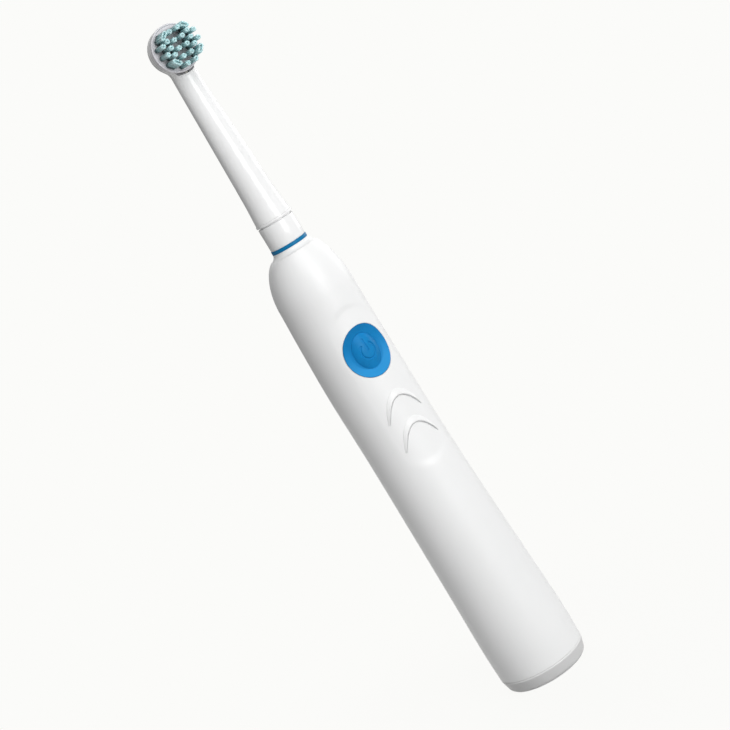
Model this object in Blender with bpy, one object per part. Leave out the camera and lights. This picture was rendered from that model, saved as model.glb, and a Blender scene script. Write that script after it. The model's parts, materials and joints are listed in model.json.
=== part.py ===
"""Electric toothbrush handset with an oscillating, pull-off brush head.

The origin is the centre of the end cap's resting face. +Z runs up the handle to the brush head,
and -Y is the front, where the button and the bristles are. Metres.

A motor turns a crank gear, whose pin rocks a slotted lever on the drive shaft. The shaft rocks
the round brush disc through a crank rod inside the neck. The handle is round, but its centre
line bows backwards, so most of its rings have a set-back: the +Y shift of their centre.
"""
import math

import bmesh
import bpy
from mathutils import Vector

MM = 0.001
SIDES = 32                        # sides of a round piece that shows
INNER_SIDES = 20                  # sides of a round piece inside
SMALL_SIDES = 10                  # sides of a small pin, hole or screw
FRONT = -math.pi / 2              # the direction of -Y in the XY plane

# Clearances
GAP = 0.3 * MM                    # between pieces that are assembled face to face
RUNNING_GAP = 0.4 * MM            # around a pin in a slot
SKIN_GAP = 0.2 * MM               # between parts of the outer skin

# End cap, with the well that stands over the charger's post
SEAM_HEIGHT = 4.5 * MM
CAP_FACE_RADIUS = 12.6 * MM
CAP_EDGE_ROUND = 0.8 * MM
CAP_WALL = 1.8 * MM
SPIGOT_LENGTH = 3.9 * MM
SPIGOT_WALL = 1.3 * MM
CAP_SEAL_SIZE = 0.75 * MM
CAP_SEAL_DEPTH = 0.15 * MM        # clear at the bottom of its groove
WELL_RADIUS = 4.75 * MM
WELL_DEPTH = 12.2 * MM
WELL_WALL = 0.9 * MM

# Handle: one shell from the seam to the collar
BODY_LENGTH = 132.5 * MM
SHOULDER_LENGTH = 15.3 * MM
HANDLE_TOP_RADIUS = 7.2 * MM
HANDLE_WALL = 1.6 * MM
BODY_OUTLINE = (                  # share of the body's length, radius, set-back
    (0.00, 14.30 * MM, 0.00 * MM),
    (0.08, 14.45 * MM, 0.20 * MM),
    (0.22, 13.95 * MM, 0.90 * MM),
    (0.42, 13.25 * MM, 2.05 * MM),
    (0.61, 12.80 * MM, 2.90 * MM),
    (0.77, 12.82 * MM, 3.40 * MM),
    (0.90, 12.55 * MM, 3.10 * MM),
    (1.00, 12.30 * MM, 2.45 * MM),
)
SHOULDER_FULLNESS = 0.714         # 0.5 would make the shoulder an ellipse

# Thumb recess, with two raised crescents to grip below the button
RECESS_HALF_WIDTH = 9.3 * MM
RECESS_ABOVE_BUTTON = 15.6 * MM
RECESS_BELOW_BUTTON = 40.1 * MM
RECESS_DEPTH = 0.3 * MM
RIDGES_BELOW_BUTTON = (16.2 * MM, 25.8 * MM)
RIDGE_HALF_WIDTH = 6.7 * MM
RIDGE_BREADTH = 2.1 * MM
RIDGE_DROP = 6.5 * MM
RIDGE_RISE = 0.55 * MM

# Button
BUTTON_HEIGHT = 115.9 * MM
BEZEL_HALF_WIDTH = 8.1 * MM
BEZEL_HALF_HEIGHT = 8.3 * MM
BEZEL_DEPTH = 0.75 * MM
BEZEL_BACK = 1.75 * MM
DOME_HALF_WIDTH = 5.2 * MM
DOME_HALF_HEIGHT = 5.7 * MM
DOME_RISE = 0.65 * MM
BUTTON_FLANGE = 0.45 * MM
BUTTON_FLANGE_THICKNESS = 0.45 * MM
BUTTON_TRAVEL = 0.35 * MM

# Circuit board and its switch
BOARD_THICKNESS = 1.0 * MM
BOARD_WIDTH = 13.6 * MM
BOARD_LENGTH = 56.0 * MM
SWITCH_WIDTH = 5.0 * MM
SWITCH_HEIGHT = 0.65 * MM
PLUNGER_RADIUS = 0.9 * MM
CHIP_SIZE = 4.4 * MM
CHIP_HEIGHT = 0.8 * MM

# Charging coil
BOBBIN_HEIGHT = 11.0 * MM
BOBBIN_WALL = 0.9 * MM
BOBBIN_RADIUS = 10.6 * MM
COIL_INSET = 0.5 * MM

# Battery
BATTERY_RADIUS = 7.1 * MM
BATTERY_LENGTH = 47.0 * MM
BATTERY_SET_BACK = 1.6 * MM
TERMINAL_RADIUS = 2.75 * MM
TERMINAL_HEIGHT = 0.9 * MM
TAB_LENGTH = 10.0 * MM
TAB_WIDTH = 4.0 * MM
TAB_THICKNESS = 0.25 * MM

# Chassis: round plates carried on two rails
FLOOR_THICKNESS = 1.4 * MM
DECK_THICKNESS = 2.4 * MM
RAIL_RADIUS = 0.8 * MM
RAIL_X = 7.9 * MM
RAIL_Y = 8.9 * MM
CHASSIS_FRONT = -3.2 * MM

# Motor
MOTOR_RADIUS = 7.5 * MM
MOTOR_LENGTH = 21.2 * MM
MOTOR_WALL = 0.8 * MM
END_BELL_LENGTH = 2.4 * MM
MOTOR_SHAFT_RADIUS = 0.75 * MM
ARMATURE_RADIUS = 4.7 * MM
ARMATURE_LENGTH = 13.0 * MM
MAGNET_THICKNESS = 1.3 * MM
MAGNET_HALF_ANGLE = math.radians(55)
SCREW_RADIUS = 0.6 * MM
SCREW_HEAD_RADIUS = 1.2 * MM
SCREW_HEAD_HEIGHT = 0.6 * MM
SCREW_LENGTH = 3.3 * MM
MOTOR_SCREW_OFFSET = 5.4 * MM
BOARD_SCREW_X = 4.6 * MM

# Gear train: pinion, crank gear and the slotted lever that its pin rocks
GEAR_MODULE = 0.4 * MM
PINION_TEETH = 10
GEAR_TEETH = 22
TOOTH_ADDENDUM = 0.72
TOOTH_DEDENDUM = 1.15
TOOTH_SHARE = 0.37                # of the pitch that a tooth fills on the pitch circle
GEAR_THICKNESS = 2.4 * MM
GEAR_AXLE_X = 5.2 * MM
GEAR_AXLE_Y = 1.5 * MM
GEAR_AXLE_RADIUS = 0.8 * MM
CRANK_SWING = math.radians(20)    # of the lever, each way, for a quarter turn of the gear
CRANK_PIN_RADIUS = 0.6 * MM
LEVER_THICKNESS = 2.4 * MM
LEVER_SIDE = 0.8 * MM
LEVER_HUB_RADIUS = 3.0 * MM

# Drive shaft, its bushes and its seal
SHAFT_RADIUS = 1.5 * MM
SPINDLE_RADIUS = 2.0 * MM
SPINDLE_LENGTH = 23.7 * MM
SPINDLE_FLAT = 0.6 * MM
BUSH_WALL = 0.65 * MM
BUSH_LENGTH = 3.4 * MM
BUSH_FLANGE = 0.5 * MM
SEAL_WALL = 1.8 * MM
SEAL_LENGTH = 3.6 * MM
BOSS_WALL = 1.4 * MM

# Collars between the handle and the brush head
HANDLE_COLLAR_HEIGHT = 1.5 * MM
HANDLE_COLLAR_FOOT_RADIUS = 7.1 * MM
RING_RADIUS = 6.0 * MM
RING_HEIGHT = 0.95 * MM
RING_WALL = 1.0 * MM
NECK_COLLAR_HEIGHT = 8.35 * MM
NECK_COLLAR_RADIUS = 5.85 * MM
FLANGE_RADIUS = 6.25 * MM
FLANGE_THICKNESS = 0.7 * MM
FLANGE_GROOVE_HEIGHT = 0.65 * MM  # just below the flange
FLANGE_GROOVE_DEPTH = 0.35 * MM
NECK_SPIGOT_LENGTH = 4.0 * MM

# Neck and head shell
NECK_LENGTH = 57.25 * MM          # from its foot to the disc's axis
NECK_OUTLINE = (                  # share of the neck's length, radius, set-back
    (0.00, 5.80 * MM, 0.00 * MM),
    (0.12, 5.30 * MM, 0.35 * MM),
    (0.45, 4.60 * MM, 0.85 * MM),
    (0.80, 3.90 * MM, 1.35 * MM),
    (0.90, 3.80 * MM, 1.10 * MM),
    (1.00, 3.40 * MM, 0.60 * MM),
)
NECK_WALL = 0.9 * MM
NECK_BORE_RADIUS = 2.6 * MM
NECK_BORE_SET_BACK = 0.9 * MM
HEAD_RADIUS = 7.05 * MM
HEAD_BACK = 4.5 * MM
HEAD_WALL = 0.8 * MM
HEAD_BACK_ROUND = 3.8 * MM        # depth of the rounded back
PIVOT_BOSS_RADIUS = 1.5 * MM
PIVOT_BOSS_LENGTH = 0.6 * MM

# Brush disc and its tufts
DISC_RADIUS = 7.4 * MM
DISC_FACE = 3.3 * MM              # in front of the handset's axis
DISC_THICKNESS = 1.4 * MM
DISC_EDGE_ROUND = 0.25 * MM
DISC_FACE_DEPTH = 0.7 * MM        # of the round recess that holds the tufts' root plate
DISC_HUB_RADIUS = 2.4 * MM
PIVOT_RADIUS = 0.6 * MM
ROOT_PLATE_RADIUS = 6.75 * MM
ROOT_PLATE_THICKNESS = 0.35 * MM
TUFT_LENGTH = 6.0 * MM
TUFT_RADIUS = 0.75 * MM
TUFT_ROWS = (                     # distance from the middle line, heights from the centre
    (1.45 * MM, (4.75 * MM, 2.00 * MM, -0.65 * MM, -3.30 * MM, -5.70 * MM)),
    (3.65 * MM, (2.65 * MM, 0.50 * MM, -1.75 * MM)),
    (5.60 * MM, (1.90 * MM, -0.80 * MM)),
)
ARC_TUFT_RADIUS = 5.85 * MM       # of the four long tufts' middle line
ARC_TUFT_ANGLES = (math.radians(50), math.radians(-42))
ARC_TUFT_HALF_LENGTH = 0.8 * MM

# Crank rod in the neck
ROD_RADIUS = 1.1 * MM
ROD_SOCKET_WALL = 0.9 * MM
ROD_WEB_THICKNESS = 1.5 * MM
ROD_WEB_BELOW_BALL = 3.4 * MM
ROD_CRANK = 2.4 * MM
ROD_TIP_RADIUS = 0.45 * MM
ROD_BALL_RADIUS = 0.65 * MM
BALL_BELOW_PIVOT = 2.4 * MM

# Heights that follow, from the bottom up
SHOULDER_HEIGHT = SEAM_HEIGHT + BODY_LENGTH
HANDLE_TOP = SHOULDER_HEIGHT + SHOULDER_LENGTH
WELL_TOP = WELL_DEPTH + WELL_WALL
BOBBIN_BASE = CAP_WALL + GAP
BOBBIN_TOP = BOBBIN_BASE + BOBBIN_HEIGHT
CHASSIS_BASE = max(BOBBIN_TOP, WELL_TOP) + GAP
BATTERY_BASE = CHASSIS_BASE + FLOOR_THICKNESS + TAB_THICKNESS + 2 * GAP
BATTERY_TOP = BATTERY_BASE + BATTERY_LENGTH + TERMINAL_HEIGHT
MOTOR_FLOOR = BATTERY_TOP + TAB_THICKNESS + 2 * GAP
BELL_BASE = MOTOR_FLOOR + FLOOR_THICKNESS + GAP
MOTOR_BASE = BELL_BASE + END_BELL_LENGTH + GAP
MOTOR_TOP = MOTOR_BASE + MOTOR_LENGTH
MOTOR_DECK = MOTOR_TOP + GAP
MOTOR_DECK_TOP = MOTOR_DECK + DECK_THICKNESS
GEAR_BASE = MOTOR_DECK_TOP + 2 * GAP
GEAR_TOP = GEAR_BASE + GEAR_THICKNESS
MOTOR_SHAFT_TOP = GEAR_TOP + 3 * GAP
LEVER_BASE = MOTOR_SHAFT_TOP + 3 * GAP
LEVER_TOP = LEVER_BASE + LEVER_THICKNESS
CRANK_PIN_TOP = LEVER_TOP + GAP
SHAFT_DECK = CRANK_PIN_TOP + 4 * GAP
SHAFT_DECK_TOP = SHAFT_DECK + DECK_THICKNESS
SEAL_BASE = HANDLE_TOP - HANDLE_WALL - GAP - SEAL_LENGTH
UPPER_BUSH_BASE = SEAL_BASE - GAP - BUSH_LENGTH
BOSS_BASE = UPPER_BUSH_BASE - GAP
COLLAR_BASE = HANDLE_TOP + SKIN_GAP
RING_BASE = COLLAR_BASE + HANDLE_COLLAR_HEIGHT + SKIN_GAP
NECK_COLLAR_BASE = RING_BASE + RING_HEIGHT + SKIN_GAP
NECK_COLLAR_TOP = NECK_COLLAR_BASE + NECK_COLLAR_HEIGHT
NECK_BASE = NECK_COLLAR_TOP + SKIN_GAP
SPIGOT_TOP = NECK_COLLAR_TOP + NECK_SPIGOT_LENGTH
SPINDLE_TOP = HANDLE_TOP + SPINDLE_LENGTH
PIVOT_HEIGHT = NECK_BASE + NECK_LENGTH
BALL_HEIGHT = PIVOT_HEIGHT - BALL_BELOW_PIVOT

# Places that follow
PITCH_RADIUS_SUM = GEAR_MODULE * (PINION_TEETH + GEAR_TEETH) / 2
MOTOR_Y = GEAR_AXLE_Y + math.sqrt(PITCH_RADIUS_SUM ** 2 - GEAR_AXLE_X ** 2)
LEVER_ANGLE = math.atan2(GEAR_AXLE_Y, GEAR_AXLE_X)
AXLE_DISTANCE = math.hypot(GEAR_AXLE_X, GEAR_AXLE_Y)
CRANK_RADIUS = AXLE_DISTANCE * math.tan(CRANK_SWING)
BOARD_BACK = CHASSIS_FRONT - GAP
BOARD_FRONT = BOARD_BACK - BOARD_THICKNESS
BOARD_BASE = MOTOR_BASE
SWITCH_FRONT = BOARD_FRONT - SKIN_GAP - SWITCH_HEIGHT
BUSH_BORE = SHAFT_RADIUS + GAP
SEAL_BORE = SPINDLE_RADIUS + GAP
SEAL_RADIUS = SEAL_BORE + SEAL_WALL
BOSS_BORE = SEAL_RADIUS + GAP
SPIGOT_RADIUS = BODY_OUTLINE[0][1] - HANDLE_WALL - GAP
NECK_SPIGOT_RADIUS = NECK_OUTLINE[0][1] - NECK_WALL - GAP
NECK_COLLAR_BORE = SPINDLE_RADIUS + RUNNING_GAP
ROD_SOCKET_RADIUS = SPINDLE_RADIUS + GAP + ROD_SOCKET_WALL
DISC_BACK = DISC_THICKNESS - DISC_FACE
HEAD_FRONT = DISC_BACK + GAP
SLOT_HALF_WIDTH = ROD_BALL_RADIUS + RUNNING_GAP

# Color, roughness and metallic value of each material
FINISHES = {
    "white_plastic": ((0.87, 0.88, 0.88), 0.22, 0.0),
    "grey_plastic": ((0.62, 0.64, 0.66), 0.35, 0.0),
    "blue_rubber": ((0.05, 0.27, 0.55), 0.35, 0.0),
    "blue_plastic": ((0.04, 0.22, 0.45), 0.3, 0.0),
    "aqua_bristle": ((0.60, 0.80, 0.80), 0.5, 0.0),
    "natural_plastic": ((0.80, 0.79, 0.72), 0.5, 0.0),
    "black_rubber": ((0.03, 0.03, 0.03), 0.6, 0.0),
    "steel": ((0.62, 0.62, 0.63), 0.25, 1.0),
    "brass": ((0.75, 0.58, 0.28), 0.3, 1.0),
    "copper_wire": ((0.72, 0.36, 0.18), 0.35, 1.0),
    "nickel": ((0.70, 0.69, 0.64), 0.3, 1.0),
    "magnet": ((0.16, 0.16, 0.17), 0.5, 0.6),
    "green_board": ((0.04, 0.26, 0.13), 0.4, 0.0),
    "black_plastic": ((0.04, 0.04, 0.045), 0.4, 0.0),
    "battery_sleeve": ((0.10, 0.34, 0.20), 0.35, 0.0),
}


# The handle's skin

def smooth_value(stations, share, column):
    """Run a cubic through one column of (share, value, value) stations."""
    last = len(stations) - 1
    index = 0
    while index < last - 1 and share > stations[index + 1][0]:
        index += 1
    start = stations[index]
    end = stations[index + 1]
    before = stations[max(index - 1, 0)]
    after = stations[min(index + 2, last)]
    span = end[0] - start[0]
    start_slope = (end[column] - before[column]) / (end[0] - before[0]) * span
    end_slope = (after[column] - start[column]) / (after[0] - start[0]) * span
    t = min(max((share - start[0]) / span, 0.0), 1.0)
    from_start = (2 * t ** 3 - 3 * t ** 2 + 1) * start[column] + (t ** 3 - 2 * t ** 2 + t) * start_slope
    from_end = (3 * t ** 2 - 2 * t ** 3) * end[column] + (t ** 3 - t ** 2) * end_slope
    return from_start + from_end


def handle_radius(z):
    if z <= SHOULDER_HEIGHT:
        return smooth_value(BODY_OUTLINE, (z - SEAM_HEIGHT) / BODY_LENGTH, 1)
    share = min((z - SHOULDER_HEIGHT) / SHOULDER_LENGTH, 1.0)
    drop = BODY_OUTLINE[-1][1] - HANDLE_TOP_RADIUS
    return HANDLE_TOP_RADIUS + drop * (1 - share ** 2) ** SHOULDER_FULLNESS


def handle_set_back(z):
    if z <= SHOULDER_HEIGHT:
        return smooth_value(BODY_OUTLINE, (z - SEAM_HEIGHT) / BODY_LENGTH, 2)
    share = min((z - SHOULDER_HEIGHT) / SHOULDER_LENGTH, 1.0)
    return BODY_OUTLINE[-1][2] * math.sqrt(1 - share ** 2)


def skin_point(across, z, rise):
    """A point over the handle's skin: across is the arc from the front line, rise is outwards."""
    angle = FRONT + across / handle_radius(z)
    radius = handle_radius(z) + rise
    return Vector((radius * math.cos(angle), handle_set_back(z) + radius * math.sin(angle), z))


# Shared shapes

def circle(radius, z, set_back=0.0, sides=SIDES, front=-math.inf, x=0.0):
    """A ring at one height, cut flat where it would pass in front of a given y."""
    ring = []
    for index in range(sides):
        turn = 2 * math.pi * (index + 0.5) / sides
        y = set_back + radius * math.sin(turn)
        ring.append(Vector((x + radius * math.cos(turn), max(y, front), z)))
    return ring


def along_y(ring, z):
    """Turn a ring about +Z into one about +Y: its heights become depths behind the front."""
    return [Vector((point.x, point.z, z + point.y)) for point in ring]


def oval(half_width, half_height, count=SIDES):
    """Points round an oval, as (across, height from its centre)."""
    turns = [2 * math.pi * index / count for index in range(count)]
    return [(half_width * math.cos(turn), half_height * math.sin(turn)) for turn in turns]


def flat_outline(points, level):
    return [Vector((x, y, level)) for x, y in points]


def stadium(length, half_width, turn, start=(0.0, 0.0), steps=6):
    """A bar with round ends, from a start point in the direction of turn."""
    points = []
    for end, side in ((length, FRONT), (0.0, -FRONT)):
        for index in range(steps + 1):
            angle = side + math.pi * index / steps
            points.append((end + half_width * math.cos(angle), half_width * math.sin(angle)))
    cos_turn = math.cos(turn)
    sin_turn = math.sin(turn)
    return [(start[0] + x * cos_turn - y * sin_turn, start[1] + x * sin_turn + y * cos_turn)
            for x, y in points]


def skinned(rings, loop=False):
    """Join rings of equal length into one closed body. A ring of one point is a pole."""
    mesh_data = bmesh.new()
    rows = [[mesh_data.verts.new(point) for point in ring] for ring in rings]
    pairs = list(zip(rows, rows[1:]))
    if loop:
        pairs.append((rows[-1], rows[0]))
    for lower, upper in pairs:
        count = max(len(lower), len(upper))
        for index in range(count):
            following = (index + 1) % count
            if len(lower) == 1:
                corners = (lower[0], upper[following], upper[index])
            elif len(upper) == 1:
                corners = (lower[index], lower[following], upper[0])
            else:
                corners = (lower[index], lower[following], upper[following], upper[index])
            mesh_data.faces.new(corners)
    if not loop:
        for row in (rows[0], rows[-1]):
            if len(row) > 2:
                mesh_data.faces.new(row)
    bmesh.ops.recalc_face_normals(mesh_data, faces=mesh_data.faces[:])
    return mesh_data


def turned(profile, sides=INNER_SIDES, x=0.0, y=0.0, loop=True):
    """Turn a (radius, z) profile about an upright axis. A radius of 0 is a pole."""
    rings = []
    for radius, z in profile:
        rings.append(circle(radius, z, y, sides, x=x) if radius > 0 else [Vector((x, y, z))])
    return skinned(rings, loop)


def turned_along_y(profile, sides=SIDES, x=0.0, z=0.0, loop=True):
    """Turn a (radius, y) profile about an axis that runs from front to back."""
    rings = []
    for radius, y in profile:
        ring = circle(radius, y, 0.0, sides, x=x) if radius > 0 else [Vector((x, 0.0, y))]
        rings.append(along_y(ring, z))
    return skinned(rings, loop)


def rod(radius, low, high, x=0.0, y=0.0, sides=SMALL_SIDES):
    return skinned([circle(radius, low, y, sides, x=x), circle(radius, high, y, sides, x=x)])


def rod_along_y(radius, front, back, x=0.0, z=0.0, sides=SMALL_SIDES):
    ends = [circle(radius, level, 0.0, sides, x=x) for level in (front, back)]
    return skinned([along_y(ring, z) for ring in ends])


def block(low, high):
    corners = ((low[0], low[1]), (high[0], low[1]), (high[0], high[1]), (low[0], high[1]))
    return skinned([flat_outline(corners, low[2]), flat_outline(corners, high[2])])


def prism(points, low, high):
    return skinned([flat_outline(points, low), flat_outline(points, high)])


def skin_patch(points, z, floor, ceiling, rings=3):
    """A closed patch of the handle's skin inside an outline of (across, height) points."""
    layers = []
    for rise in (floor, ceiling):
        layer = [[skin_point(0.0, z, rise)]]
        for ring in range(1, rings + 1):
            share = ring / rings
            layer.append([skin_point(share * u, z + share * v, rise) for u, v in points])
        layers.append(layer)
    return skinned(layers[0] + layers[1][::-1])


def piece(name, mesh_data, finish):
    """Make a named object with its own mesh and material."""
    mesh = bpy.data.meshes.new(name)
    mesh_data.to_mesh(mesh)
    mesh_data.free()
    mesh.materials.append(material(finish))
    mesh.shade_smooth()
    mesh.set_sharp_from_angle(angle=math.radians(35))
    made = bpy.data.objects.new(name, mesh)
    bpy.context.scene.collection.objects.link(made)
    return made


def material(finish):
    made = bpy.data.materials.get(finish)
    if made is None:
        color, roughness, metallic = FINISHES[finish]
        made = bpy.data.materials.new(finish)
        made.use_nodes = True
        shader = made.node_tree.nodes["Principled BSDF"]
        shader.inputs["Base Color"].default_value = (*color, 1.0)
        shader.inputs["Roughness"].default_value = roughness
        shader.inputs["Metallic"].default_value = metallic
    return made


def shape_with(target, operation, mesh_data):
    """Add a Boolean modifier, with its own hidden tool object."""
    label = f"{target.name}_tool_{len(target.modifiers) + 1}"
    mesh = bpy.data.meshes.new(label)
    mesh_data.to_mesh(mesh)
    mesh_data.free()
    tool = bpy.data.objects.new(label, mesh)
    tool.hide_render = True
    tool.display_type = "WIRE"
    bpy.context.scene.collection.objects.link(tool)
    modifier = target.modifiers.new(label, "BOOLEAN")
    modifier.operation = operation
    modifier.object = tool


def cut(target, *mesh_datas):
    for mesh_data in mesh_datas:
        shape_with(target, "DIFFERENCE", mesh_data)


def add(target, *mesh_datas):
    for mesh_data in mesh_datas:
        shape_with(target, "UNION", mesh_data)


# Handle shell and end cap

def handle_rings(inset, low, high, steps):
    """Rings of the handle's outline, inset by a wall."""
    rings = []
    for index in range(steps + 1):
        z = low + (high - low) * index / steps
        rings.append(circle(handle_radius(z) - inset, z, handle_set_back(z)))
    return rings


def recess_outline(count=56):
    """A long superellipse, with its blunter end below the button."""
    points = []
    for index in range(count):
        turn = 2 * math.pi * index / count
        upper = math.sin(turn) > 0
        power = 2 / 3.0 if upper else 2 / 4.0
        length = RECESS_ABOVE_BUTTON if upper else RECESS_BELOW_BUTTON
        across = math.copysign(abs(math.cos(turn)) ** power, math.cos(turn))
        along = math.copysign(abs(math.sin(turn)) ** power, math.sin(turn))
        points.append((RECESS_HALF_WIDTH * across, length * along))
    return points


def ridge(apex, steps=16):
    """A crescent with a sharp lower edge and pointed ends."""
    rings = []
    for index in range(steps + 1):
        share = 0.97 * (2 * index / steps - 1)
        across = RIDGE_HALF_WIDTH * share
        lower = apex - RIDGE_DROP * share ** 2
        fullness = 1 - share ** 4
        breadth = RIDGE_BREADTH * fullness
        rise = RIDGE_RISE * fullness
        rings.append([
            skin_point(across, lower, -HANDLE_WALL / 2),
            skin_point(across, lower, rise - RECESS_DEPTH),
            skin_point(across, lower + breadth / 2, rise / 2 - RECESS_DEPTH),
            skin_point(across, lower + breadth, -RECESS_DEPTH),
            skin_point(across, lower + breadth, -HANDLE_WALL / 2),
        ])
    return skinned(rings)


def make_handle_housing():
    skin = handle_rings(0.0, SEAM_HEIGHT + SKIN_GAP, SHOULDER_HEIGHT, 11)
    shoulder = handle_rings(0.0, SHOULDER_HEIGHT, HANDLE_TOP, 8)[1:]
    cavity_top = SEAL_BASE
    mouth = SPINDLE_RADIUS + 2 * RUNNING_GAP
    boss_radius = BOSS_BORE + BOSS_WALL
    top = [
        circle(mouth, HANDLE_TOP),
        circle(mouth, HANDLE_TOP - HANDLE_WALL),
        circle(BOSS_BORE, HANDLE_TOP - HANDLE_WALL),
        circle(BOSS_BORE, BOSS_BASE),
        circle(boss_radius, BOSS_BASE),
        circle(boss_radius, cavity_top),
    ]
    cavity = handle_rings(HANDLE_WALL, SEAM_HEIGHT + SKIN_GAP, cavity_top, 8)[::-1]
    housing = piece("handle_housing", skinned(skin + shoulder + top + cavity, loop=True), "white_plastic")
    cut(housing, skin_patch(recess_outline(), BUTTON_HEIGHT, -RECESS_DEPTH, 2 * RECESS_DEPTH))
    add(housing, *[ridge(BUTTON_HEIGHT - below) for below in RIDGES_BELOW_BUTTON])
    aperture = oval(BEZEL_HALF_WIDTH + SKIN_GAP, BEZEL_HALF_HEIGHT + SKIN_GAP)
    cut(housing, skin_patch(aperture, BUTTON_HEIGHT, -2 * HANDLE_WALL, HANDLE_WALL, rings=2))


def make_end_cap():
    spigot_top = SEAM_HEIGHT + SPIGOT_LENGTH
    groove_middle = SEAM_HEIGHT + SPIGOT_LENGTH / 2
    groove_half = CAP_SEAL_SIZE / 2 + SKIN_GAP
    groove_radius = SPIGOT_RADIUS - CAP_SEAL_SIZE
    edge = CAP_FACE_RADIUS + CAP_EDGE_ROUND
    profile = [
        (0.0, WELL_DEPTH),
        (WELL_RADIUS, WELL_DEPTH),
        (WELL_RADIUS, 0.0),
        (CAP_FACE_RADIUS, 0.0),
        (CAP_FACE_RADIUS + 0.7 * CAP_EDGE_ROUND, 0.3 * CAP_EDGE_ROUND),
        (edge, CAP_EDGE_ROUND),
        (BODY_OUTLINE[0][1], SEAM_HEIGHT),
        (SPIGOT_RADIUS, SEAM_HEIGHT),
        (SPIGOT_RADIUS, groove_middle - groove_half),
        (groove_radius, groove_middle - groove_half),
        (groove_radius, groove_middle + groove_half),
        (SPIGOT_RADIUS, groove_middle + groove_half),
        (SPIGOT_RADIUS, spigot_top),
        (SPIGOT_RADIUS - SPIGOT_WALL, spigot_top),
        (SPIGOT_RADIUS - SPIGOT_WALL, CAP_WALL),
        (WELL_RADIUS + WELL_WALL, CAP_WALL),
        (WELL_RADIUS + WELL_WALL, WELL_TOP),
        (0.0, WELL_TOP),
    ]
    piece("end_cap", turned(profile, SIDES, loop=False), "grey_plastic")


def make_cap_seal():
    middle = SEAM_HEIGHT + SPIGOT_LENGTH / 2
    inner = SPIGOT_RADIUS - CAP_SEAL_SIZE + CAP_SEAL_DEPTH
    centre = inner + CAP_SEAL_SIZE / 2
    section = []
    for index in range(6):
        turn = 2 * math.pi * index / 6
        section.append((centre + CAP_SEAL_SIZE / 2 * math.cos(turn),
                        middle + CAP_SEAL_SIZE / 2 * math.sin(turn)))
    piece("cap_seal", turned(section), "black_rubber")


def make_handle_collar():
    bore = SPINDLE_RADIUS + 2 * RUNNING_GAP
    top = COLLAR_BASE + HANDLE_COLLAR_HEIGHT
    middle = (HANDLE_COLLAR_FOOT_RADIUS + RING_RADIUS) / 2 - SKIN_GAP
    profile = [
        (bore, COLLAR_BASE),
        (HANDLE_COLLAR_FOOT_RADIUS, COLLAR_BASE),
        (middle, COLLAR_BASE + HANDLE_COLLAR_HEIGHT / 2),
        (RING_RADIUS, top),
        (bore, top),
    ]
    piece("handle_collar", turned(profile, SIDES), "white_plastic")


# Button, switch and circuit board

def make_button_bezel():
    """An oval dish: it falls from its outer edge, and its inner edge stands round the dome."""
    inner_width = DOME_HALF_WIDTH + SKIN_GAP
    inner_height = DOME_HALF_HEIGHT + SKIN_GAP
    floor = -(RECESS_DEPTH + BEZEL_DEPTH)
    section = (                   # share of the way from the inner edge to the outer, rise
        (0.0, floor),
        (0.35, floor),
        (0.7, -RECESS_DEPTH - 0.6 * BEZEL_DEPTH),
        (1.0, -RECESS_DEPTH),
        (1.0, -BEZEL_BACK),
        (0.0, -BEZEL_BACK),
    )
    rings = []
    for share, rise in section:
        half_width = inner_width + (BEZEL_HALF_WIDTH - inner_width) * share
        half_height = inner_height + (BEZEL_HALF_HEIGHT - inner_height) * share
        outline = oval(half_width, half_height)
        rings.append([skin_point(u, BUTTON_HEIGHT + v, rise) for u, v in outline])
    piece("button_bezel", skinned(rings, loop=True), "blue_rubber")


def button_flange():
    """The half-width, front and back of the flange that keeps the button behind its bezel."""
    edge = skin_point(DOME_HALF_WIDTH + BUTTON_FLANGE, BUTTON_HEIGHT, -BEZEL_BACK)
    front = edge.y + GAP
    return edge.x, front, front + BUTTON_FLANGE_THICKNESS


def make_power_button():
    flange_half_width, front, back = button_flange()
    edge = -(RECESS_DEPTH + BEZEL_DEPTH)
    rings = [[skin_point(0.0, BUTTON_HEIGHT, edge + DOME_RISE)]]
    for share in (0.35, 0.65, 0.88, 1.0):
        rise = edge + DOME_RISE * (1 - share ** 2)
        outline = oval(share * DOME_HALF_WIDTH, share * DOME_HALF_HEIGHT)
        rings.append([skin_point(u, BUTTON_HEIGHT + v, rise) for u, v in outline])
    outline = oval(DOME_HALF_WIDTH, DOME_HALF_HEIGHT)
    stem = [skin_point(u, BUTTON_HEIGHT + v, -BEZEL_BACK) for u, v in outline]
    rings.append(stem)
    rings.append([Vector((point.x, front, point.z)) for point in stem])
    for level in (front, back):
        outline = oval(flange_half_width, DOME_HALF_HEIGHT + BUTTON_FLANGE)
        rings.append([Vector((x, level, BUTTON_HEIGHT + z)) for x, z in outline])
    piece("power_button", skinned(rings), "blue_rubber")


def make_switch():
    _, _, flange_back = button_flange()
    half = SWITCH_WIDTH / 2
    low = (-half, SWITCH_FRONT, BUTTON_HEIGHT - half)
    high = (half, SWITCH_FRONT + SWITCH_HEIGHT, BUTTON_HEIGHT + half)
    body = piece("switch_body", block(low, high), "black_plastic")
    bore = PLUNGER_RADIUS + SKIN_GAP
    cut(body, rod_along_y(bore, SWITCH_FRONT - GAP, BOARD_FRONT, z=BUTTON_HEIGHT))
    plunger_back = SWITCH_FRONT + BUTTON_TRAVEL
    plunger = rod_along_y(PLUNGER_RADIUS, flange_back + SKIN_GAP, plunger_back, z=BUTTON_HEIGHT)
    piece("switch_plunger", plunger, "natural_plastic")


def board_screw_places():
    lower = (-BOARD_SCREW_X, MOTOR_DECK + DECK_THICKNESS / 2)
    upper = (BOARD_SCREW_X, SHAFT_DECK + DECK_THICKNESS / 2)
    return {"board_screw_lower": lower, "board_screw_upper": upper}


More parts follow.
